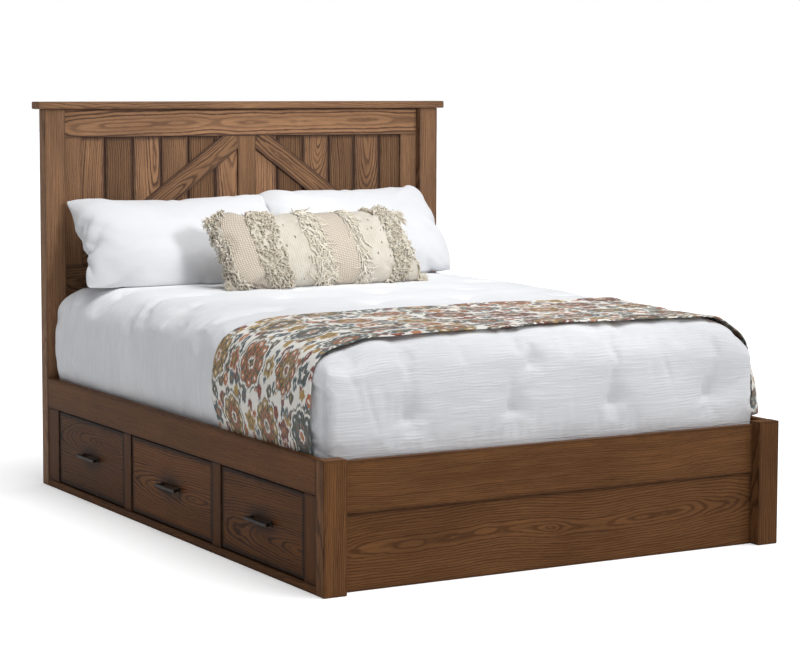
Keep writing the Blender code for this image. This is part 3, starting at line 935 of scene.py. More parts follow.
def cotton_quilt():
    return cloth_shader("crinkled_cotton", WHITE, GREY_MOTTLE_AND_CREASE_SHADE, 2600.0,
                        ("fabric", 8.0, 112.0, 0.0042), pucker=0.0098).material


def pillow_cotton():
    return cloth_shader("pillow_cotton", (0.68, 0.685, 0.70), (0.63, 0.64, 0.665), 3000.0,
                        ("fabric", 7.0, 16.0, 0.004)).material


# ---------------------------------------------------------------- throw

THROW_HEM = 0.382
THROW_STEP = 0.008
THROW_CLEAR, THROW_THICK, HEM_THICK = 0.0018, 0.0030, 0.0048
FAN_CENTRE = (0.655, 0.600)
THROW_FLARE = 0.070
RAIL_TOP = 0.3992


def throw_spokes():
    """Rays in the XZ plane that the throw is laid along, from the left hem to the right one."""
    cx, cz = FAN_CENTRE
    half = []
    for z in np.arange(THROW_HEM, cz, THROW_STEP):
        half.append(((cx, z), (1.0, 0.0)))
    turns = round(0.20 / THROW_STEP)
    for step in range(turns):
        angle = math.pi / 2 * step / turns
        half.append(((cx, cz), (math.cos(angle), math.sin(angle))))
    for x in np.linspace(cx, 0.0, round(cx / THROW_STEP) + 1):
        half.append(((x, cz), (0.0, 1.0)))
    left = [((-x, z), (-dx, dz)) for (x, z), (dx, dz) in half]
    return left + half[-2::-1]


def spread_out(grid, sigma):
    """Blurs a grid of heights, by sigma cells, without shrinking it at its edges."""
    reach = int(3 * sigma)
    kernel = np.exp(-0.5 * (np.arange(-reach, reach + 1) / sigma) ** 2)
    kernel /= kernel.sum()
    for axis in (0, 1):
        padded = np.pad(grid, [(reach, reach) if a == axis else (0, 0) for a in (0, 1)], "edge")
        grid = np.apply_along_axis(lambda line: np.convolve(line, kernel, "valid"), axis, padded)
    return grid


def make_throw(comforter):
    low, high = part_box("throw")
    tree = BVHTree.FromObject(comforter, bpy.context.evaluated_depsgraph_get())
    spokes = throw_spokes()
    rows = np.linspace(low.y, high.y, round((high.y - low.y) / THROW_STEP) + 1)
    start = np.array([s[0] for s in spokes])
    aim = np.array([s[1] for s in spokes])
    reach = np.zeros((len(spokes), len(rows)))
    for i, ((x, z), (dx, dz)) in enumerate(spokes):
        for j, y in enumerate(rows):
            outside = Vector((x + dx * 0.5, y, z + dz * 0.5))
            _, _, _, far = tree.ray_cast(outside, Vector((-dx, 0.0, -dz)), 0.6)
            reach[i, j] = 0.5 - far if far is not None else np.nan
    for j in range(len(rows)):
        column = reach[:, j]
        bad = np.isnan(column)
        column[bad] = np.interp(np.flatnonzero(bad), np.flatnonzero(~bad), column[~bad])
    lifted = reach.copy()
    for _ in range(3):
        around = np.pad(lifted, 1, "edge")
        lifted = np.max([around[a:a + len(spokes), b:b + len(rows)]
                         for a in range(3) for b in range(3)], axis=0)
    smooth = np.maximum(spread_out(lifted, 2.4), reach) + THROW_CLEAR

    s = np.concatenate([[0.0], np.cumsum(np.hypot(*np.diff(start + aim * smooth.mean(1)[:, None],
                                                           axis=0).T))])
    s -= s[-1] / 2
    t = rows - rows[0]
    drop = smooth_step(np.abs(aim[:, 0]), 0.3, 1.0)
    near_rail = smooth_step(np.where(np.abs(aim[:, 0]) > 0.99, start[:, 1], 1.0), 0.400, 0.50)
    folds = (np.sin(2 * math.pi * (t[None, :] / 0.165 + 0.25 * np.sin(s[:, None] * 3.0)))
             + 0.6 * np.sin(2 * math.pi * (t[None, :] / 0.071 + 0.6 * s[:, None]) + 1.3))
    smooth = smooth + 0.0032 * (folds + 1.6) / 2 * drop[:, None] * near_rail[:, None]
    ripple = wave_noise(np.stack(np.meshgrid(s, t, indexing="ij") + [np.zeros(reach.shape)],
                                 -1).reshape(-1, 3), (2.2, 5.5, 1.0), 21).reshape(reach.shape)
    smooth = smooth + 0.0022 * (ripple + 1.0) * (1 - drop[:, None] * (1 - near_rail[:, None]))
    right = (start[:, 0] + aim[:, 0] > 0.7)
    flare = right * drop * (1 - np.clip((start[:, 1] - 0.40) / 0.28, 0, 1))
    front = smooth_step(t, -0.012, 0.045) * smooth_step(t, 0.45, 0.09)
    lift = right & (start[:, 1] < 0.402) & (aim[:, 0] > 0.99)
    smooth = smooth + (THROW_FLARE * flare)[:, None] * front[None, :]

    wander = 0.004 * np.sin(s * 7.0 + 1.0) + 0.003 * np.sin(s * 17.0)
    back = 0.055 * np.exp(-((s + 0.93) / 0.13) ** 2) - 0.035 * smooth_step(np.abs(s), 0.80, 0.55)
    sheets = []
    edge = np.minimum(np.minimum(np.arange(len(s)), np.arange(len(s))[::-1])[:, None] * THROW_STEP,
                      np.minimum(t, t[::-1])[None, :])
    thick = THROW_THICK + (HEM_THICK - THROW_THICK) * smooth_step(edge, 0.019, 0.012)
    thick = thick * (0.35 + 0.65 * smooth_step(edge, -0.001, 0.006))
    for outward in (0.0, 1.0):
        far = smooth + outward * thick
        grid = np.empty(reach.shape + (3,))
        grid[..., 0] = start[:, None, 0] + aim[:, None, 0] * far
        grid[..., 1] = rows[None, :] + wander[:, None] + back[:, None] * (t / t[-1])[None, :]
        grid[..., 2] = start[:, None, 1] + aim[:, None, 1] * far
        on_rail = lift[:, None] & (front[None, :] > 0.02)
        raised = np.maximum(grid[..., 2], RAIL_TOP + outward * 0.003)
        grid[..., 2] = np.where(on_rail, raised, grid[..., 2])
        sheets.append(grid)
    points, quads = closed_sheet(*sheets)
    throw = add_mesh("patterned_throw", points, quads, printed_cloth())
    flat = np.stack(np.meshgrid(s, t, indexing="ij") + [np.zeros(reach.shape)], -1).reshape(-1, 3)
    store(throw, "cloth", np.concatenate([flat, flat]))
    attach(throw, ROOT)
    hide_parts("throw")


def closed_sheet(inner, outer):
    """Two matching grids of points joined round their edges: points and quads."""
    a, b = inner.shape[:2]
    index = np.arange(a * b).reshape(a, b)
    under, over = index, index + a * b

    def cells(sheet):
        return np.stack([sheet[:-1, :-1], sheet[1:, :-1], sheet[1:, 1:], sheet[:-1, 1:]],
                        -1).reshape(-1, 4)

    ring = np.concatenate([index[:, 0], index[-1, 1:], index[-2::-1, -1], index[0, -2:0:-1]])
    after = np.roll(ring, -1)
    rim = np.stack([ring, after, after + a * b, ring + a * b], -1)
    quads = np.concatenate([cells(under), cells(over)[:, ::-1], rim[:, ::-1]])
    return np.concatenate([inner.reshape(-1, 3), outer.reshape(-1, 3)]), quads


IVORY, OLIVE = (0.86, 0.835, 0.785), (0.120, 0.112, 0.085)
RUST, GOLD = (0.45, 0.165, 0.070), (0.43, 0.270, 0.085)
SLATE, MAROON = (0.095, 0.125, 0.135), (0.215, 0.065, 0.055)
MEDALLION, MEDALLION_PITCH, MEDALLION_STRETCH = 0.069, (0.178, 0.212), 1.26


def choose(g, value, colours):
    """One of several colours, by a value from 0 to 1."""
    ramp = g.node("ValToRGB")
    ramp.color_ramp.interpolation = "CONSTANT"
    marks = ramp.color_ramp.elements
    while len(marks) < len(colours):
        marks.new(1.0)
    for number, colour in enumerate(colours):
        marks[number].position = number / len(colours)
        marks[number].color = (*colour, 1.0)
    g.put(ramp.inputs[0], value)
    return ramp.outputs[0]


def printed_cloth():
    """A generic printed floral: staggered medallions, buds and leaves with ragged edges."""
    g, shader = new_material("printed_cloth")
    cloth = g.attribute("cloth")
    s, t, _ = g.split(cloth)
    ragged = g.noise(g.stretch(cloth, (16.0, 300.0, 1.0)), detail=1.0)
    wobble = g.noise(g.stretch(cloth, (60.0, 60.0, 1.0)), detail=2.0)
    s = g.add(s, g.fma(ragged, 0.030, -0.015))
    t = g.add(t, g.fma(wobble, 0.018, -0.009))

    def lattice(pitch, offset):
        """Distance, angle and two random values of the nearest motif of a staggered grid."""
        a = g.add(g.div(s, pitch[0]), 50.2)
        row = g.math("FLOOR", a)
        odd = g.math("MODULO", row, 2.0)
        b = g.add(g.div(t, pitch[1]), g.fma(odd, 0.5, 50.3 + offset))
        column = g.math("FLOOR", b)
        u = g.mul(g.sub(g.sub(a, row), 0.5), pitch[0] / MEDALLION_STRETCH)
        v = g.mul(g.sub(g.sub(b, column), 0.5), pitch[1])
        far = g.vector("LENGTH", g.join(u, v, 0.0))
        own = g.node("TexWhiteNoise", noise_dimensions="2D")
        g.put(own.inputs["Vector"], g.join(row, column, offset))
        red, green, _ = g.split(own.outputs["Color"])
        return far, g.math("ARCTAN2", v, u), red, green

    def petals(angle, count, phase=0.0):
        turn = g.fma(angle, float(count), phase)
        return g.fma(g.math("COSINE", turn), 0.5, 0.5)

    def between(value, low, high, soft=0.03):
        return g.mul(g.smooth(value, low - soft, low + soft), g.smooth(value, high + soft,
                                                                       high - soft))

    leaf = g.node("TexVoronoi", voronoi_dimensions="2D")
    g.put(leaf.inputs["Vector"], g.join(g.mul(s, 0.62), t, 0.0))
    leaf.inputs["Scale"].default_value = 35.0
    leaf.inputs["Randomness"].default_value = 0.75
    pick, keep, _ = g.split(leaf.outputs["Color"])
    spot = g.mul(g.smooth(leaf.outputs["Distance"], 0.50, 0.43), g.smooth(keep, 0.08, 0.10))
    heart = g.smooth(leaf.outputs["Distance"], 0.15, 0.10)
    filler = choose(g, pick, (MAROON, SLATE, OLIVE, RUST, OLIVE, SLATE, GOLD))
    filler = g.mix(heart, filler, choose(g, keep, (IVORY, GOLD, RUST, IVORY)))
    colour = g.mix(spot, IVORY, filler)

    far, angle, red, green = lattice(MEDALLION_PITCH, 0.0)
    petal = petals(angle, 8)
    size = g.fma(g.math("POWER", petal, 0.5), 0.16, 0.86)
    size = g.mul(size, g.fma(green, 0.26, 0.80))
    rho = g.div(far, g.mul(size, MEDALLION))
    main = choose(g, red, (RUST, GOLD, MAROON, GOLD, SLATE, RUST))
    second = choose(g, green, (GOLD, SLATE, RUST, OLIVE, GOLD, MAROON))
    third = choose(g, red, (SLATE, MAROON, GOLD, RUST, RUST, OLIVE))
    ringed = g.smooth(red, 0.50, 0.52)
    cleared = g.smooth(g.fma(ringed, -0.13, rho), 1.09, 1.04)
    colour = g.mix(cleared, colour, IVORY)
    halo = g.mul(between(rho, 1.11, 1.20, 0.02), ringed)
    colour = g.mix(halo, colour, OLIVE)
    colour = g.mix(g.smooth(rho, 1.0, 0.96), colour, OLIVE)
    colour = g.mix(g.mul(g.smooth(rho, 0.93, 0.90), g.smooth(petal, 0.10, 0.22)), colour, second)
    dots = g.mul(between(rho, 0.70, 0.80), g.smooth(petal, 0.80, 0.92))
    colour = g.mix(dots, colour, IVORY)
    colour = g.mix(g.smooth(rho, 0.66, 0.62), colour, OLIVE)
    inner = g.mul(g.smooth(rho, 0.60, 0.57), g.smooth(petals(angle, 12), 0.12, 0.30))
    colour = g.mix(inner, colour, main)
    colour = g.mix(g.mul(between(rho, 0.36, 0.44), g.smooth(petals(angle, 12), 0.5, 0.7)), colour,
                   third)
    for low, high, ink in ((0.27, 0.24, IVORY), (0.19, 0.16, third), (0.08, 0.06, GOLD)):
        colour = g.mix(g.smooth(rho, low, high), colour, ink)

    far, angle, red, green = lattice(MEDALLION_PITCH, 0.5)
    petal = petals(angle, 5, 0.7)
    rho = g.div(far, g.fma(petal, 0.010, 0.020))
    colour = g.mix(g.smooth(rho, 1.25, 1.18), colour, IVORY)
    colour = g.mix(g.smooth(rho, 1.05, 0.98), colour, choose(g, red, (MAROON, SLATE, RUST, GOLD)))
    colour = g.mix(between(rho, 0.40, 0.58, 0.05), colour, OLIVE)
    colour = g.mix(g.smooth(rho, 0.38, 0.32), colour, choose(g, green, (GOLD, IVORY, RUST)))

    streak = g.noise(g.stretch(cloth, (30.0, 520.0, 1.0)), detail=2.0)
    colour = g.mix(g.mul(g.smooth(streak, 0.50, 0.72), 0.38), colour, IVORY)
    slub = g.noise(g.stretch(cloth, (520.0, 40.0, 1.0)), detail=2.0)
    colour = g.mix(g.mul(g.smooth(slub, 0.55, 0.8), 0.18), colour, OLIVE)
    weave = g.add(streak, slub)
    g.shade(shader, colour, g.fma(slub, 0.12, 0.80), g.bump(weave, 0.5, 0.0012), sheen=0.12,
            specular=0.15)
    return g.material


# ---------------------------------------------------------------- pillows and cushion


def envelope(name, size, cells, material):
    """A cushion cover before stuffing: two nearly flat layers joined round their rim."""
    length, width, _ = size
    u, v = np.meshgrid(*[np.linspace(-1, 1, n + 1) for n in cells], indexing="ij")
    x = u * length / 2 * (1 - 0.012 * (1 - v**2))
    y = v * width / 2 * (1 - 0.012 * (1 - u**2))
    lens = 0.0012 + 0.020 * (1 - u**4) * (1 - v**4)
    points, quads = closed_sheet(np.stack([x, y, -lens], -1), np.stack([x, y, lens], -1))
    cover = add_mesh(name, points, quads, material)
    store(cover, "fabric", points)
    return cover


def square_up(cover, size, cells, hollow=0.012, rounding=0.030):
    """Takes back most of the pinch that swelling gives the four edges of a cover."""
    count = [n + 1 for n in cells]
    points = points_of(cover).reshape(2, *count, 3)
    u, v = (np.linspace(-1, 1, n) for n in count)
    for axis, share in ((1, u), (0, v)):
        wanted = size[axis] / 2 * (1 - hollow * (1 - share**2) - rounding * share**12)
        edges = (points[:, :, [0, -1], 1] if axis == 1 else points[:, [0, -1], :, 0])
        found = np.abs(edges).mean(axis=(0, 2) if axis == 1 else (0, 1))
        factor = wanted / np.polyval(np.polyfit(share, found, 8), share)
        points[..., axis] *= factor[None, :, None] if axis == 1 else factor[None, None, :]
    place_points(cover, points.reshape(-1, 3))


def stuffed(name, size, cells, material, pressure, frames, wrinkle=0.0, seed=1, smoothing=0):
    """A cover swollen by simulation, then brought to its size, still lying flat in X and Y."""
    length, width, _ = size
    cover = envelope(name, size, cells, material)
    inflate(cover, pressure, frames, 1.0, slack=0.0, stiffness=18.0, bending=0.2)
    square_up(cover, size, cells)
    if smoothing:
        step = cover.modifiers.new("softer", "SMOOTH")
        step.factor, step.iterations = 0.5, smoothing
        keep_result(cover)
    subdivide(cover)
    points = points_of(cover)
    low, high = points.min(0), points.max(0)
    points = (points - (low + high) / 2) * (np.array(size) / (high - low))
    place_points(cover, points)
    if wrinkle:
        normals = normals_of(cover)
        rim = np.maximum(np.abs(points[:, 0]) / (length / 2), np.abs(points[:, 1]) / (width / 2))
        ends = smooth_step(np.abs(points[:, 0]), length * 0.28, length * 0.46)
        broad = wave_noise(points, (4.0, 2.0, 1.0), seed) * 0.004 * (1 - rim**3)
        slant = wave_noise(points @ np.array([[0.8, 0.6, 0], [-0.6, 0.8, 0], [0, 0, 1.0]]),
                           (4.0, 17.0, 1.0), seed + 1)
        points = points + normals * (broad + wrinkle * slant * ends * (1 - rim**6))[:, None]
        place_points(cover, points)
    return cover


def lean_back(cover, middle, lean, turn=0.0, shape=None):
    """Stands a flat-lying pad up on its long edge, leaning back against the headboard."""
    points = points_of(cover)
    if shape:
        points = shape(points)
    place = Matrix.Translation(middle) @ Matrix.Rotation(turn, 4, "Z") \
        @ Matrix.Rotation(lean, 4, "X")
    place_points(cover, points)
    cover.data.transform(place)
    cover.data.update()


BED_TOP = 0.7435
HEADBOARD_FACE = 1.0650


def settle(cover, low_z=BED_TOP, back_y=HEADBOARD_FACE, soft=0.014):
    """Flattens a pad where it rests on the bed top or touches the headboard."""
    points = points_of(cover)
    for axis, limit, sign in ((2, low_z, 1.0), (1, back_y, -1.0)):
        gap = sign * (points[:, axis] - limit)
        eased = soft * np.log1p(np.exp(np.clip(gap / soft, -30, 30)))
        points[:, axis] = limit + sign * np.where(gap > 4 * soft, gap, eased * 0.98)
    place_points(cover, points)


def dog_ear(points, corner, reach, spread, twist=0.0):
    """Draws one corner of a pad out to a point."""
    far = np.hypot(points[:, 0] - corner[0], points[:, 1] - corner[1])
    pull = np.exp(-(far / spread) ** 2)
    moved = points.copy()
    moved[:, 0] += reach[0] * pull
    moved[:, 1] += reach[1] * pull
    moved[:, 2] = moved[:, 2] * (1 - 0.45 * pull) + twist * pull
    return moved


def finish_pad(cover, node):
    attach(cover, ROOT)
    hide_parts(node)


def make_pillows():
    cotton = pillow_cotton()

    def left_shape(points):
        points[:, 2] -= 0.030 * smooth_step(-points[:, 1], 0.10, 0.24)
        points[:, 1] -= 0.016 * smooth_step(points[:, 1], 0.10, 0.23) \
            * (1 - 0.8 * smooth_step(points[:, 0], 0.16, 0.36))
        points = dog_ear(points, (-0.39, -0.23), (-0.040, 0.030), 0.13, -0.040)
        points = dog_ear(points, (0.39, 0.23), (0.020, 0.010), 0.10, 0.010)
        return dog_ear(points, (-0.39, 0.23), (-0.016, 0.030), 0.055, 0.010)

    def right_shape(points):
        points[:, 2] -= 0.016 * smooth_step(-points[:, 1], 0.10, 0.22)
        points = dog_ear(points, (0.36, 0.21), (0.004, 0.012), 0.06, 0.008)
        return dog_ear(points, (-0.36, 0.21), (-0.008, 0.014), 0.06, -0.010)

    made = (
        # piece, node, size, middle, lean in degrees, shape, seed
        ("left_pillow", "pillow_left", (0.780, 0.455, 0.185), (-0.366, 0.843, 0.889), 41.0,
         left_shape, 31),
        ("right_pillow", "pillow_right", (0.720, 0.420, 0.180), (0.368, 0.876, 0.902), 46.5,
         right_shape, 47),
    )
    for name, node, size, middle, lean, shape, seed in made:
        cover = stuffed(name, size, (84, 56), cotton, 5.0, 22, 0.0050, seed, smoothing=6)
        lean_back(cover, middle, math.radians(lean), 0.0, shape)
        settle(cover)
        finish_pad(cover, node)


# Bands across the lumbar cushion: where each starts and ends, in metres along it
SHAGGY, RIBBED_ONE, LOOPED = (-0.385, -0.325), (-0.330, -0.235), (-0.240, -0.145)
THIN_FRINGE, RIBBED_TWO = (-0.062, 0.004), (0.000, 0.105)
WHITE_FRINGE, TUFTED = (0.103, 0.140), (0.228, 0.300)
FAR_END = (0.358, 0.385)
RIB_PITCH = 0.0082


def cushion_wool():
    """Cream weave with ribbed bands, and dark specks on the plain bands."""
    g, shader = new_material("cream_weave")
    fabric = g.attribute("fabric")
    x, y, _ = g.split(fabric)

    def band(ends):
        return g.mul(g.math("GREATER_THAN", x, ends[0]), g.math("LESS_THAN", x, ends[1]))

    ribbed = g.math("MAXIMUM", band(RIBBED_ONE), band(RIBBED_TWO))
    column = g.math("SINE", g.mul(x, 2 * math.pi / RIB_PITCH))
    nudge = g.mul(g.math("FLOOR", g.div(x, RIB_PITCH)), 2.1)
    stitch = g.math("SINE", g.fma(y, 2 * math.pi / 0.0068, nudge))
    rib = g.fma(column, 0.6, g.mul(stitch, 0.5))
    warp = g.math("SINE", g.mul(x, 2 * math.pi / 0.0032))
    weft = g.math("SINE", g.mul(y, 2 * math.pi / 0.0032))
    plain = g.mul(g.mul(warp, weft), 0.35)
    cloud = g.noise(fabric, scale=24.0, detail=4.0, rough=0.6)
    fuzz = g.noise(fabric, scale=420.0, detail=2.0)
    fleck = g.node("TexVoronoi")
    g.put(fleck.inputs["Vector"], g.stretch(fabric, (1.0, 0.6, 0.0)))
    fleck.inputs["Scale"].default_value = 62.0
    some, _, _ = g.split(fleck.outputs["Color"])
    speck = g.mul(g.smooth(fleck.outputs["Distance"], 0.18, 0.12), g.math("GREATER_THAN", some,
                                                                          0.40))
    colour = g.mix(g.smooth(cloud, 0.3, 0.7), (0.53, 0.485, 0.405), (0.61, 0.575, 0.500))
    # Painted shade: the ribbed bands are lighter on raised stitches and darker in the grooves between
    # the ribs, following the same waves as their bump.
    warm = g.mix(g.smooth(stitch, -0.6, 0.8), (0.50, 0.425, 0.340), (0.64, 0.58, 0.495))
    warm = g.mix(g.mul(g.smooth(column, -0.5, -0.95), 0.4), warm, (0.40, 0.32, 0.24))
    colour = g.mix(ribbed, colour, warm)
    colour = g.mix(g.mul(speck, g.sub(1.0, ribbed)), colour, (0.14, 0.115, 0.09))
    plain = g.fma(column, 0.22, plain)
    height = g.add(g.mul(rib, ribbed), g.add(plain, g.mul(fuzz, 0.4)))
    g.shade(shader, colour, g.fma(fuzz, 0.12, 0.84), g.bump(height, 0.7, 0.0022), sheen=0.2,
            specular=0.1)
    return g.material


def yarn():
    """Soft spun yarn, from white through cream to pinkish beige, strand by strand."""
    g, shader = new_material("spun_yarn")
    tint, twist, _ = g.split(g.attribute("yarn"))
    point = g.object_point()
    fuzz = g.noise(point, scale=700.0, detail=3.0, rough=0.7)
    colour = choose(g, tint, ((0.80, 0.755, 0.66), (0.75, 0.69, 0.57), (0.78, 0.73, 0.615),
                              (0.70, 0.61, 0.49), (0.74, 0.67, 0.55)))
    colour = g.mix(g.mul(g.smooth(fuzz, 0.55, 0.3), 0.35), colour, (0.42, 0.34, 0.25))
    ply = g.math("SINE", g.mul(twist, 90.0))
    g.shade(shader, colour, g.fma(fuzz, 0.1, 0.85), g.bump(g.fma(ply, 0.5, fuzz), 0.6, 0.0008),
            sheen=0.3, specular=0.1)
    return g.material


def yarn_piece(name, paths, radius, tints, material, sides=4):
    """Joins closed yarns, one round each path of points, into one piece."""
    count, steps, _ = paths.shape
    ahead = np.gradient(paths, axis=1)
    ahead /= np.maximum(np.linalg.norm(ahead, axis=2, keepdims=True), 1e-9)
    helper = np.where(np.abs(ahead[:, :1, 2:]) < 0.8, [[[0.0, 0.0, 1.0]]], [[[1.0, 0.0, 0.0]]])
    a = np.cross(ahead, helper)
    a /= np.maximum(np.linalg.norm(a, axis=2, keepdims=True), 1e-9)
    b = np.cross(ahead, a)
    taper = 1.0 - 0.45 * np.linspace(-0.15, 1, steps).clip(0)[None, :, None, None] ** 2
    turn = 2 * math.pi * np.arange(sides) / sides
    ring = (paths[:, :, None] + radius[:, None, None, None] * taper
            * (np.cos(turn)[:, None] * a[:, :, None] + np.sin(turn)[:, None] * b[:, :, None]))
    points = ring.reshape(-1, 3)
    index = np.arange(len(points)).reshape(count, steps, sides)
    after = np.roll(index, -1, axis=2)
    walls = np.stack([index[:, :-1], index[:, 1:], after[:, 1:], after[:, :-1]], -1)
    faces = [tuple(f) for f in walls.reshape(-1, 4)]
    faces += [tuple(f) for f in index[:, 0]] + [tuple(f[::-1]) for f in index[:, -1]]
    piece = add_mesh(name, points, faces, material)
    along = np.broadcast_to(np.linspace(0, 1, steps)[None, :, None], index.shape)
    tint = np.broadcast_to(tints[:, None, None], index.shape)
    store(piece, "yarn", np.stack([tint.ravel(), along.ravel(), np.zeros(index.size)], -1))
    return piece


CUSHION_SIZE = (0.785, 0.325, 0.145)


def make_cushion():
    size = CUSHION_SIZE
    cover = stuffed("woven_cushion", size, (96, 44), cushion_wool(), 5.0, 22, 0.0015, 61)
    flat = read(cover, "fabric")
    points, normals = points_of(cover), normals_of(cover)
    rng = np.random.default_rng(77)
    front = (normals[:, 2] > -0.35) & (np.abs(flat[:, 1]) < size[1] / 2 - 0.005)
    paths, radii, tints = [], [], []
    plan = (
        # band, strands, height, length, loop share, run along X and Y, tints
        (SHAGGY, 420, 0.017, 0.022, 0.55, (0.25, -1.0), (0.0, 1.0)),
        (LOOPED, 560, 0.014, 0.020, 0.85, (0.10, -0.7), (0.2, 0.75)),
        (THIN_FRINGE, 300, 0.008, 0.044, 0.0, (0.55, -0.9), (0.0, 0.55)),
        (WHITE_FRINGE, 170, 0.007, 0.036, 0.0, (0.40, -1.0), (0.0, 0.30)),
        (TUFTED, 480, 0.016, 0.022, 0.70, (0.30, -0.8), (0.0, 0.95)),
        (FAR_END, 150, 0.012, 0.024, 0.35, (0.50, -0.8), (0.0, 0.80)),
    )
    steps = 7
    t = np.linspace(0, 1, steps)[:, None]
    for ends, count, height, length, loops, run, shade in plan:
        inside = np.flatnonzero(front & (flat[:, 0] > ends[0]) & (flat[:, 0] < ends[1]))
        for base in rng.choice(inside, count):
            normal, start = normals[base], points[base] - normals[base] * 0.001
            heading = np.array([run[0], run[1], 0.0]) + rng.normal(size=3) * 0.55
            heading -= normal * (heading @ normal)
            heading /= np.linalg.norm(heading)
            swirl = np.cross(normal, heading) * rng.normal() * 0.35
            high, far = height * rng.uniform(0.6, 1.15), length * rng.uniform(0.6, 1.25)
            if rng.random() < loops:
                rise = np.sin(math.pi * t) * high
                path = start + normal * rise + heading * far * 0.7 * t + swirl * far * t * (1 - t) * 2
            else:
                rise = (1 - (1 - t) ** 2) * high * (1 - 0.55 * t)
                path = start + normal * (rise + 0.0015) + heading * far * t**1.2 + swirl * far * t**2
            paths.append(path)
            radii.append(rng.uniform(0.0016, 0.0026))
            tints.append(rng.uniform(*shade))
    for side in (-1.0, 1.0):
        edge = np.flatnonzero(side * flat[:, 0] > size[0] / 2 - 0.0015)
        for base in rng.choice(edge, 230):
            heading = np.array([side, rng.normal() * 0.35 - 0.15, rng.normal() * 0.35])
            heading /= np.linalg.norm(heading)
            bend = np.array([0.0, -1.0, 0.0]) * rng.uniform(-0.2, 0.8)
            far = 0.034 * rng.uniform(0.6, 1.2)
            paths.append(points[base] - heading * 0.002 + heading * far * t + bend * far * t**2)
            radii.append(rng.uniform(0.0012, 0.0018))
            tints.append(rng.uniform(0.0, 0.8))
    fringe = yarn_piece("cushion_fringe", np.array(paths), np.array(radii), np.array(tints), yarn())

    middle, lean, turn = (0.000, 0.505, 0.876), math.radians(51.5), math.radians(2.5)

    for obj in (cover, fringe):
        lean_back(obj, middle, lean, turn)
        settle(obj, soft=0.004)
    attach(fringe, ROOT)
    finish_pad(cover, "lumbar_cushion")


# ---------------------------------------------------------------- mattress

MATTRESS_INSET = 0.004
MATTRESS_CELLS = (54, 72, 14)
QUILT_PITCH = 0.127
MATTRESS_EDGES, MATTRESS_POWERS = (0.16, 0.16, 0.16, 0.13), (3.0, 3.0)
PIPING_RADIUS, PIPING_POINTS, PIPING_POWER = 0.0032, 240, 0.16
PIPING_ABOVE_BASE, PIPING_BELOW_TOP = 0.035, 0.135


def ticking():
    """White knitted ticking with a fine diamond figure."""
    g, shader = new_material("knitted_ticking")
    point = g.object_point()
    x, y, z = g.split(point)
    down = g.math("SINE", g.mul(g.add(g.add(x, y), z), 420.0))
    up = g.math("SINE", g.mul(g.sub(g.sub(x, y), z), 420.0))
    diamond = g.mul(down, up)
    fuzz = g.noise(point, scale=260.0, detail=2.0)
    colour = g.mix(g.smooth(diamond, -0.2, 0.5), (0.66, 0.67, 0.70), (0.78, 0.78, 0.79))
    g.shade(shader, colour, g.fma(fuzz, 0.15, 0.75), g.bump(g.fma(fuzz, 0.3, diamond), 0.4, 0.001))
    return g.material


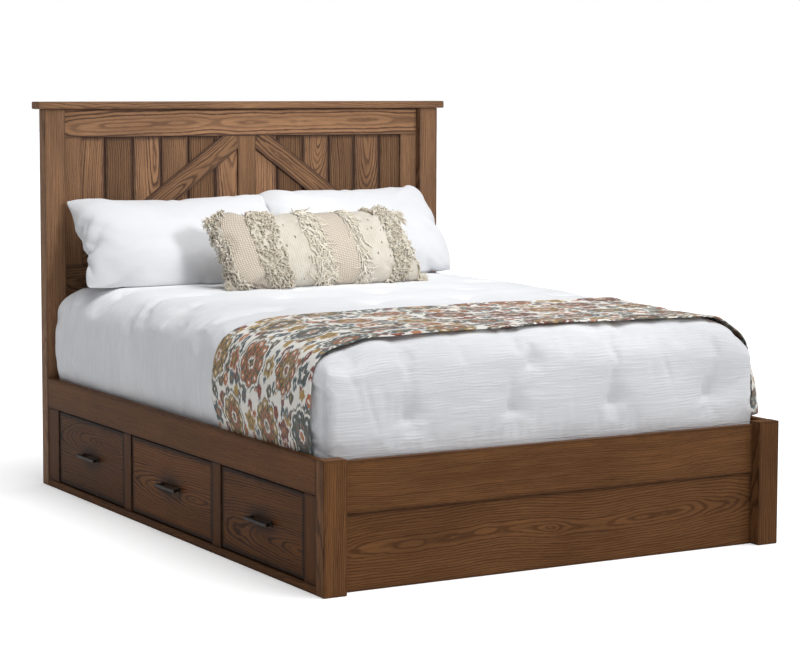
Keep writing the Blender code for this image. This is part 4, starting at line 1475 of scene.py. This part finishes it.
def make_mattress():
    low, high = (Vector(v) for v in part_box("mattress"))
    inset = Vector((MATTRESS_INSET, MATTRESS_INSET, 0.0))
    low, high = low + inset, high - inset - Vector((0.0, 0.0, 0.003))
    points, quads, _ = rounded_lattice(low, high, MATTRESS_CELLS, MATTRESS_EDGES,
                                       MATTRESS_POWERS)
    mattress = add_mesh("sprung_mattress", points, quads, ticking())
    subdivide(mattress)
    points, normals = points_of(mattress), normals_of(mattress)
    across = np.abs(np.sin(math.pi * (points[:, 0] + points[:, 1]) / QUILT_PITCH))
    along = np.abs(np.sin(math.pi * (points[:, 0] - points[:, 1]) / QUILT_PITCH))
    puff = (across * along) ** 0.5 - 1.0
    place_points(mattress, points + normals * (0.006 * puff * (normals[:, 2] > 0.7))[:, None])
    bm = bmesh.new()
    bm.from_mesh(mattress.data)
    bm.verts.ensure_lookup_table()
    bm.faces.new([bm.verts[i] for i in rim_loop(mattress.data)])
    bmesh.ops.recalc_face_normals(bm, faces=bm.faces)
    bm.to_mesh(mattress.data)
    bm.free()
    rims = []
    turn = np.linspace(0, 2 * math.pi, PIPING_POINTS + 1)[:-1]
    reach = (high - low) / 2
    x, y = (half * np.sign(wave) * np.abs(wave) ** PIPING_POWER
            for half, wave in ((reach.x, np.cos(turn)), (reach.y, np.sin(turn))))
    for height in (low.z + PIPING_ABOVE_BASE, high.z - PIPING_BELOW_TOP):
        rims.append(np.stack([x, y + (low.y + high.y) / 2, np.full(PIPING_POINTS, height)], -1))
    cords = closed_tubes("mattress_piping", rims, PIPING_RADIUS, mattress.data.materials[0])
    for obj in (mattress, cords):
        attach(obj, ROOT)
    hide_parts("mattress")


def closed_tubes(name, loops, radius, material, sides=8):
    """Round beads that follow closed level loops of points."""
    points, faces = [], []
    for loop in loops:
        ahead = np.roll(loop, -1, axis=0) - np.roll(loop, 1, axis=0)
        out = np.stack([ahead[:, 1], -ahead[:, 0], np.zeros(len(loop))], -1)
        out /= np.linalg.norm(out, axis=1, keepdims=True)
        base = len(points)
        for centre, away in zip(loop, out):
            for step in range(sides):
                turn = 2 * math.pi * step / sides
                lift = np.array([0.0, 0.0, math.sin(turn)])
                points.append(centre + radius * (math.cos(turn) * away + lift))
        for here in range(len(loop)):
            after = (here + 1) % len(loop)
            for step in range(sides):
                beside = (step + 1) % sides
                faces.append((base + here * sides + step, base + after * sides + step,
                              base + after * sides + beside, base + here * sides + beside))
    return add_mesh(name, points, faces, material)


def make_tongues():
    """The planks' tongues, which close the seams round the headboard panels."""
    tongue = 0.003
    points, faces = [], []
    for side, _ in SIDES:
        low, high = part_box(f"head_planks_{side}")
        middle = (low.y + high.y) / 2
        for level in (low.z, high.z):
            start = len(points)
            points += [(x, middle + y * tongue, level + z * tongue)
                       for x in (low.x, high.x) for y in (-1, 1) for z in (-1, 1)]
            faces += [[start + i for i in face] for face in
                      ((0, 1, 3, 2), (4, 6, 7, 5), (0, 4, 5, 1), (2, 3, 7, 6), (0, 2, 6, 4),
                       (1, 5, 7, 3))]
    material = NODES["head_planks_left"].data.materials[0]
    tongues = add_mesh("panel_tongues", points, faces, material, smooth=False)
    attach(tongues, ROOT)


# ---------------------------------------------------------------- making it all

make_camera()
make_light()
make_floor()
dress_wood()
dress_inside()
quilt = make_comforter()
make_throw(quilt)
make_pillows()
make_cushion()
make_mattress()
make_tongues()
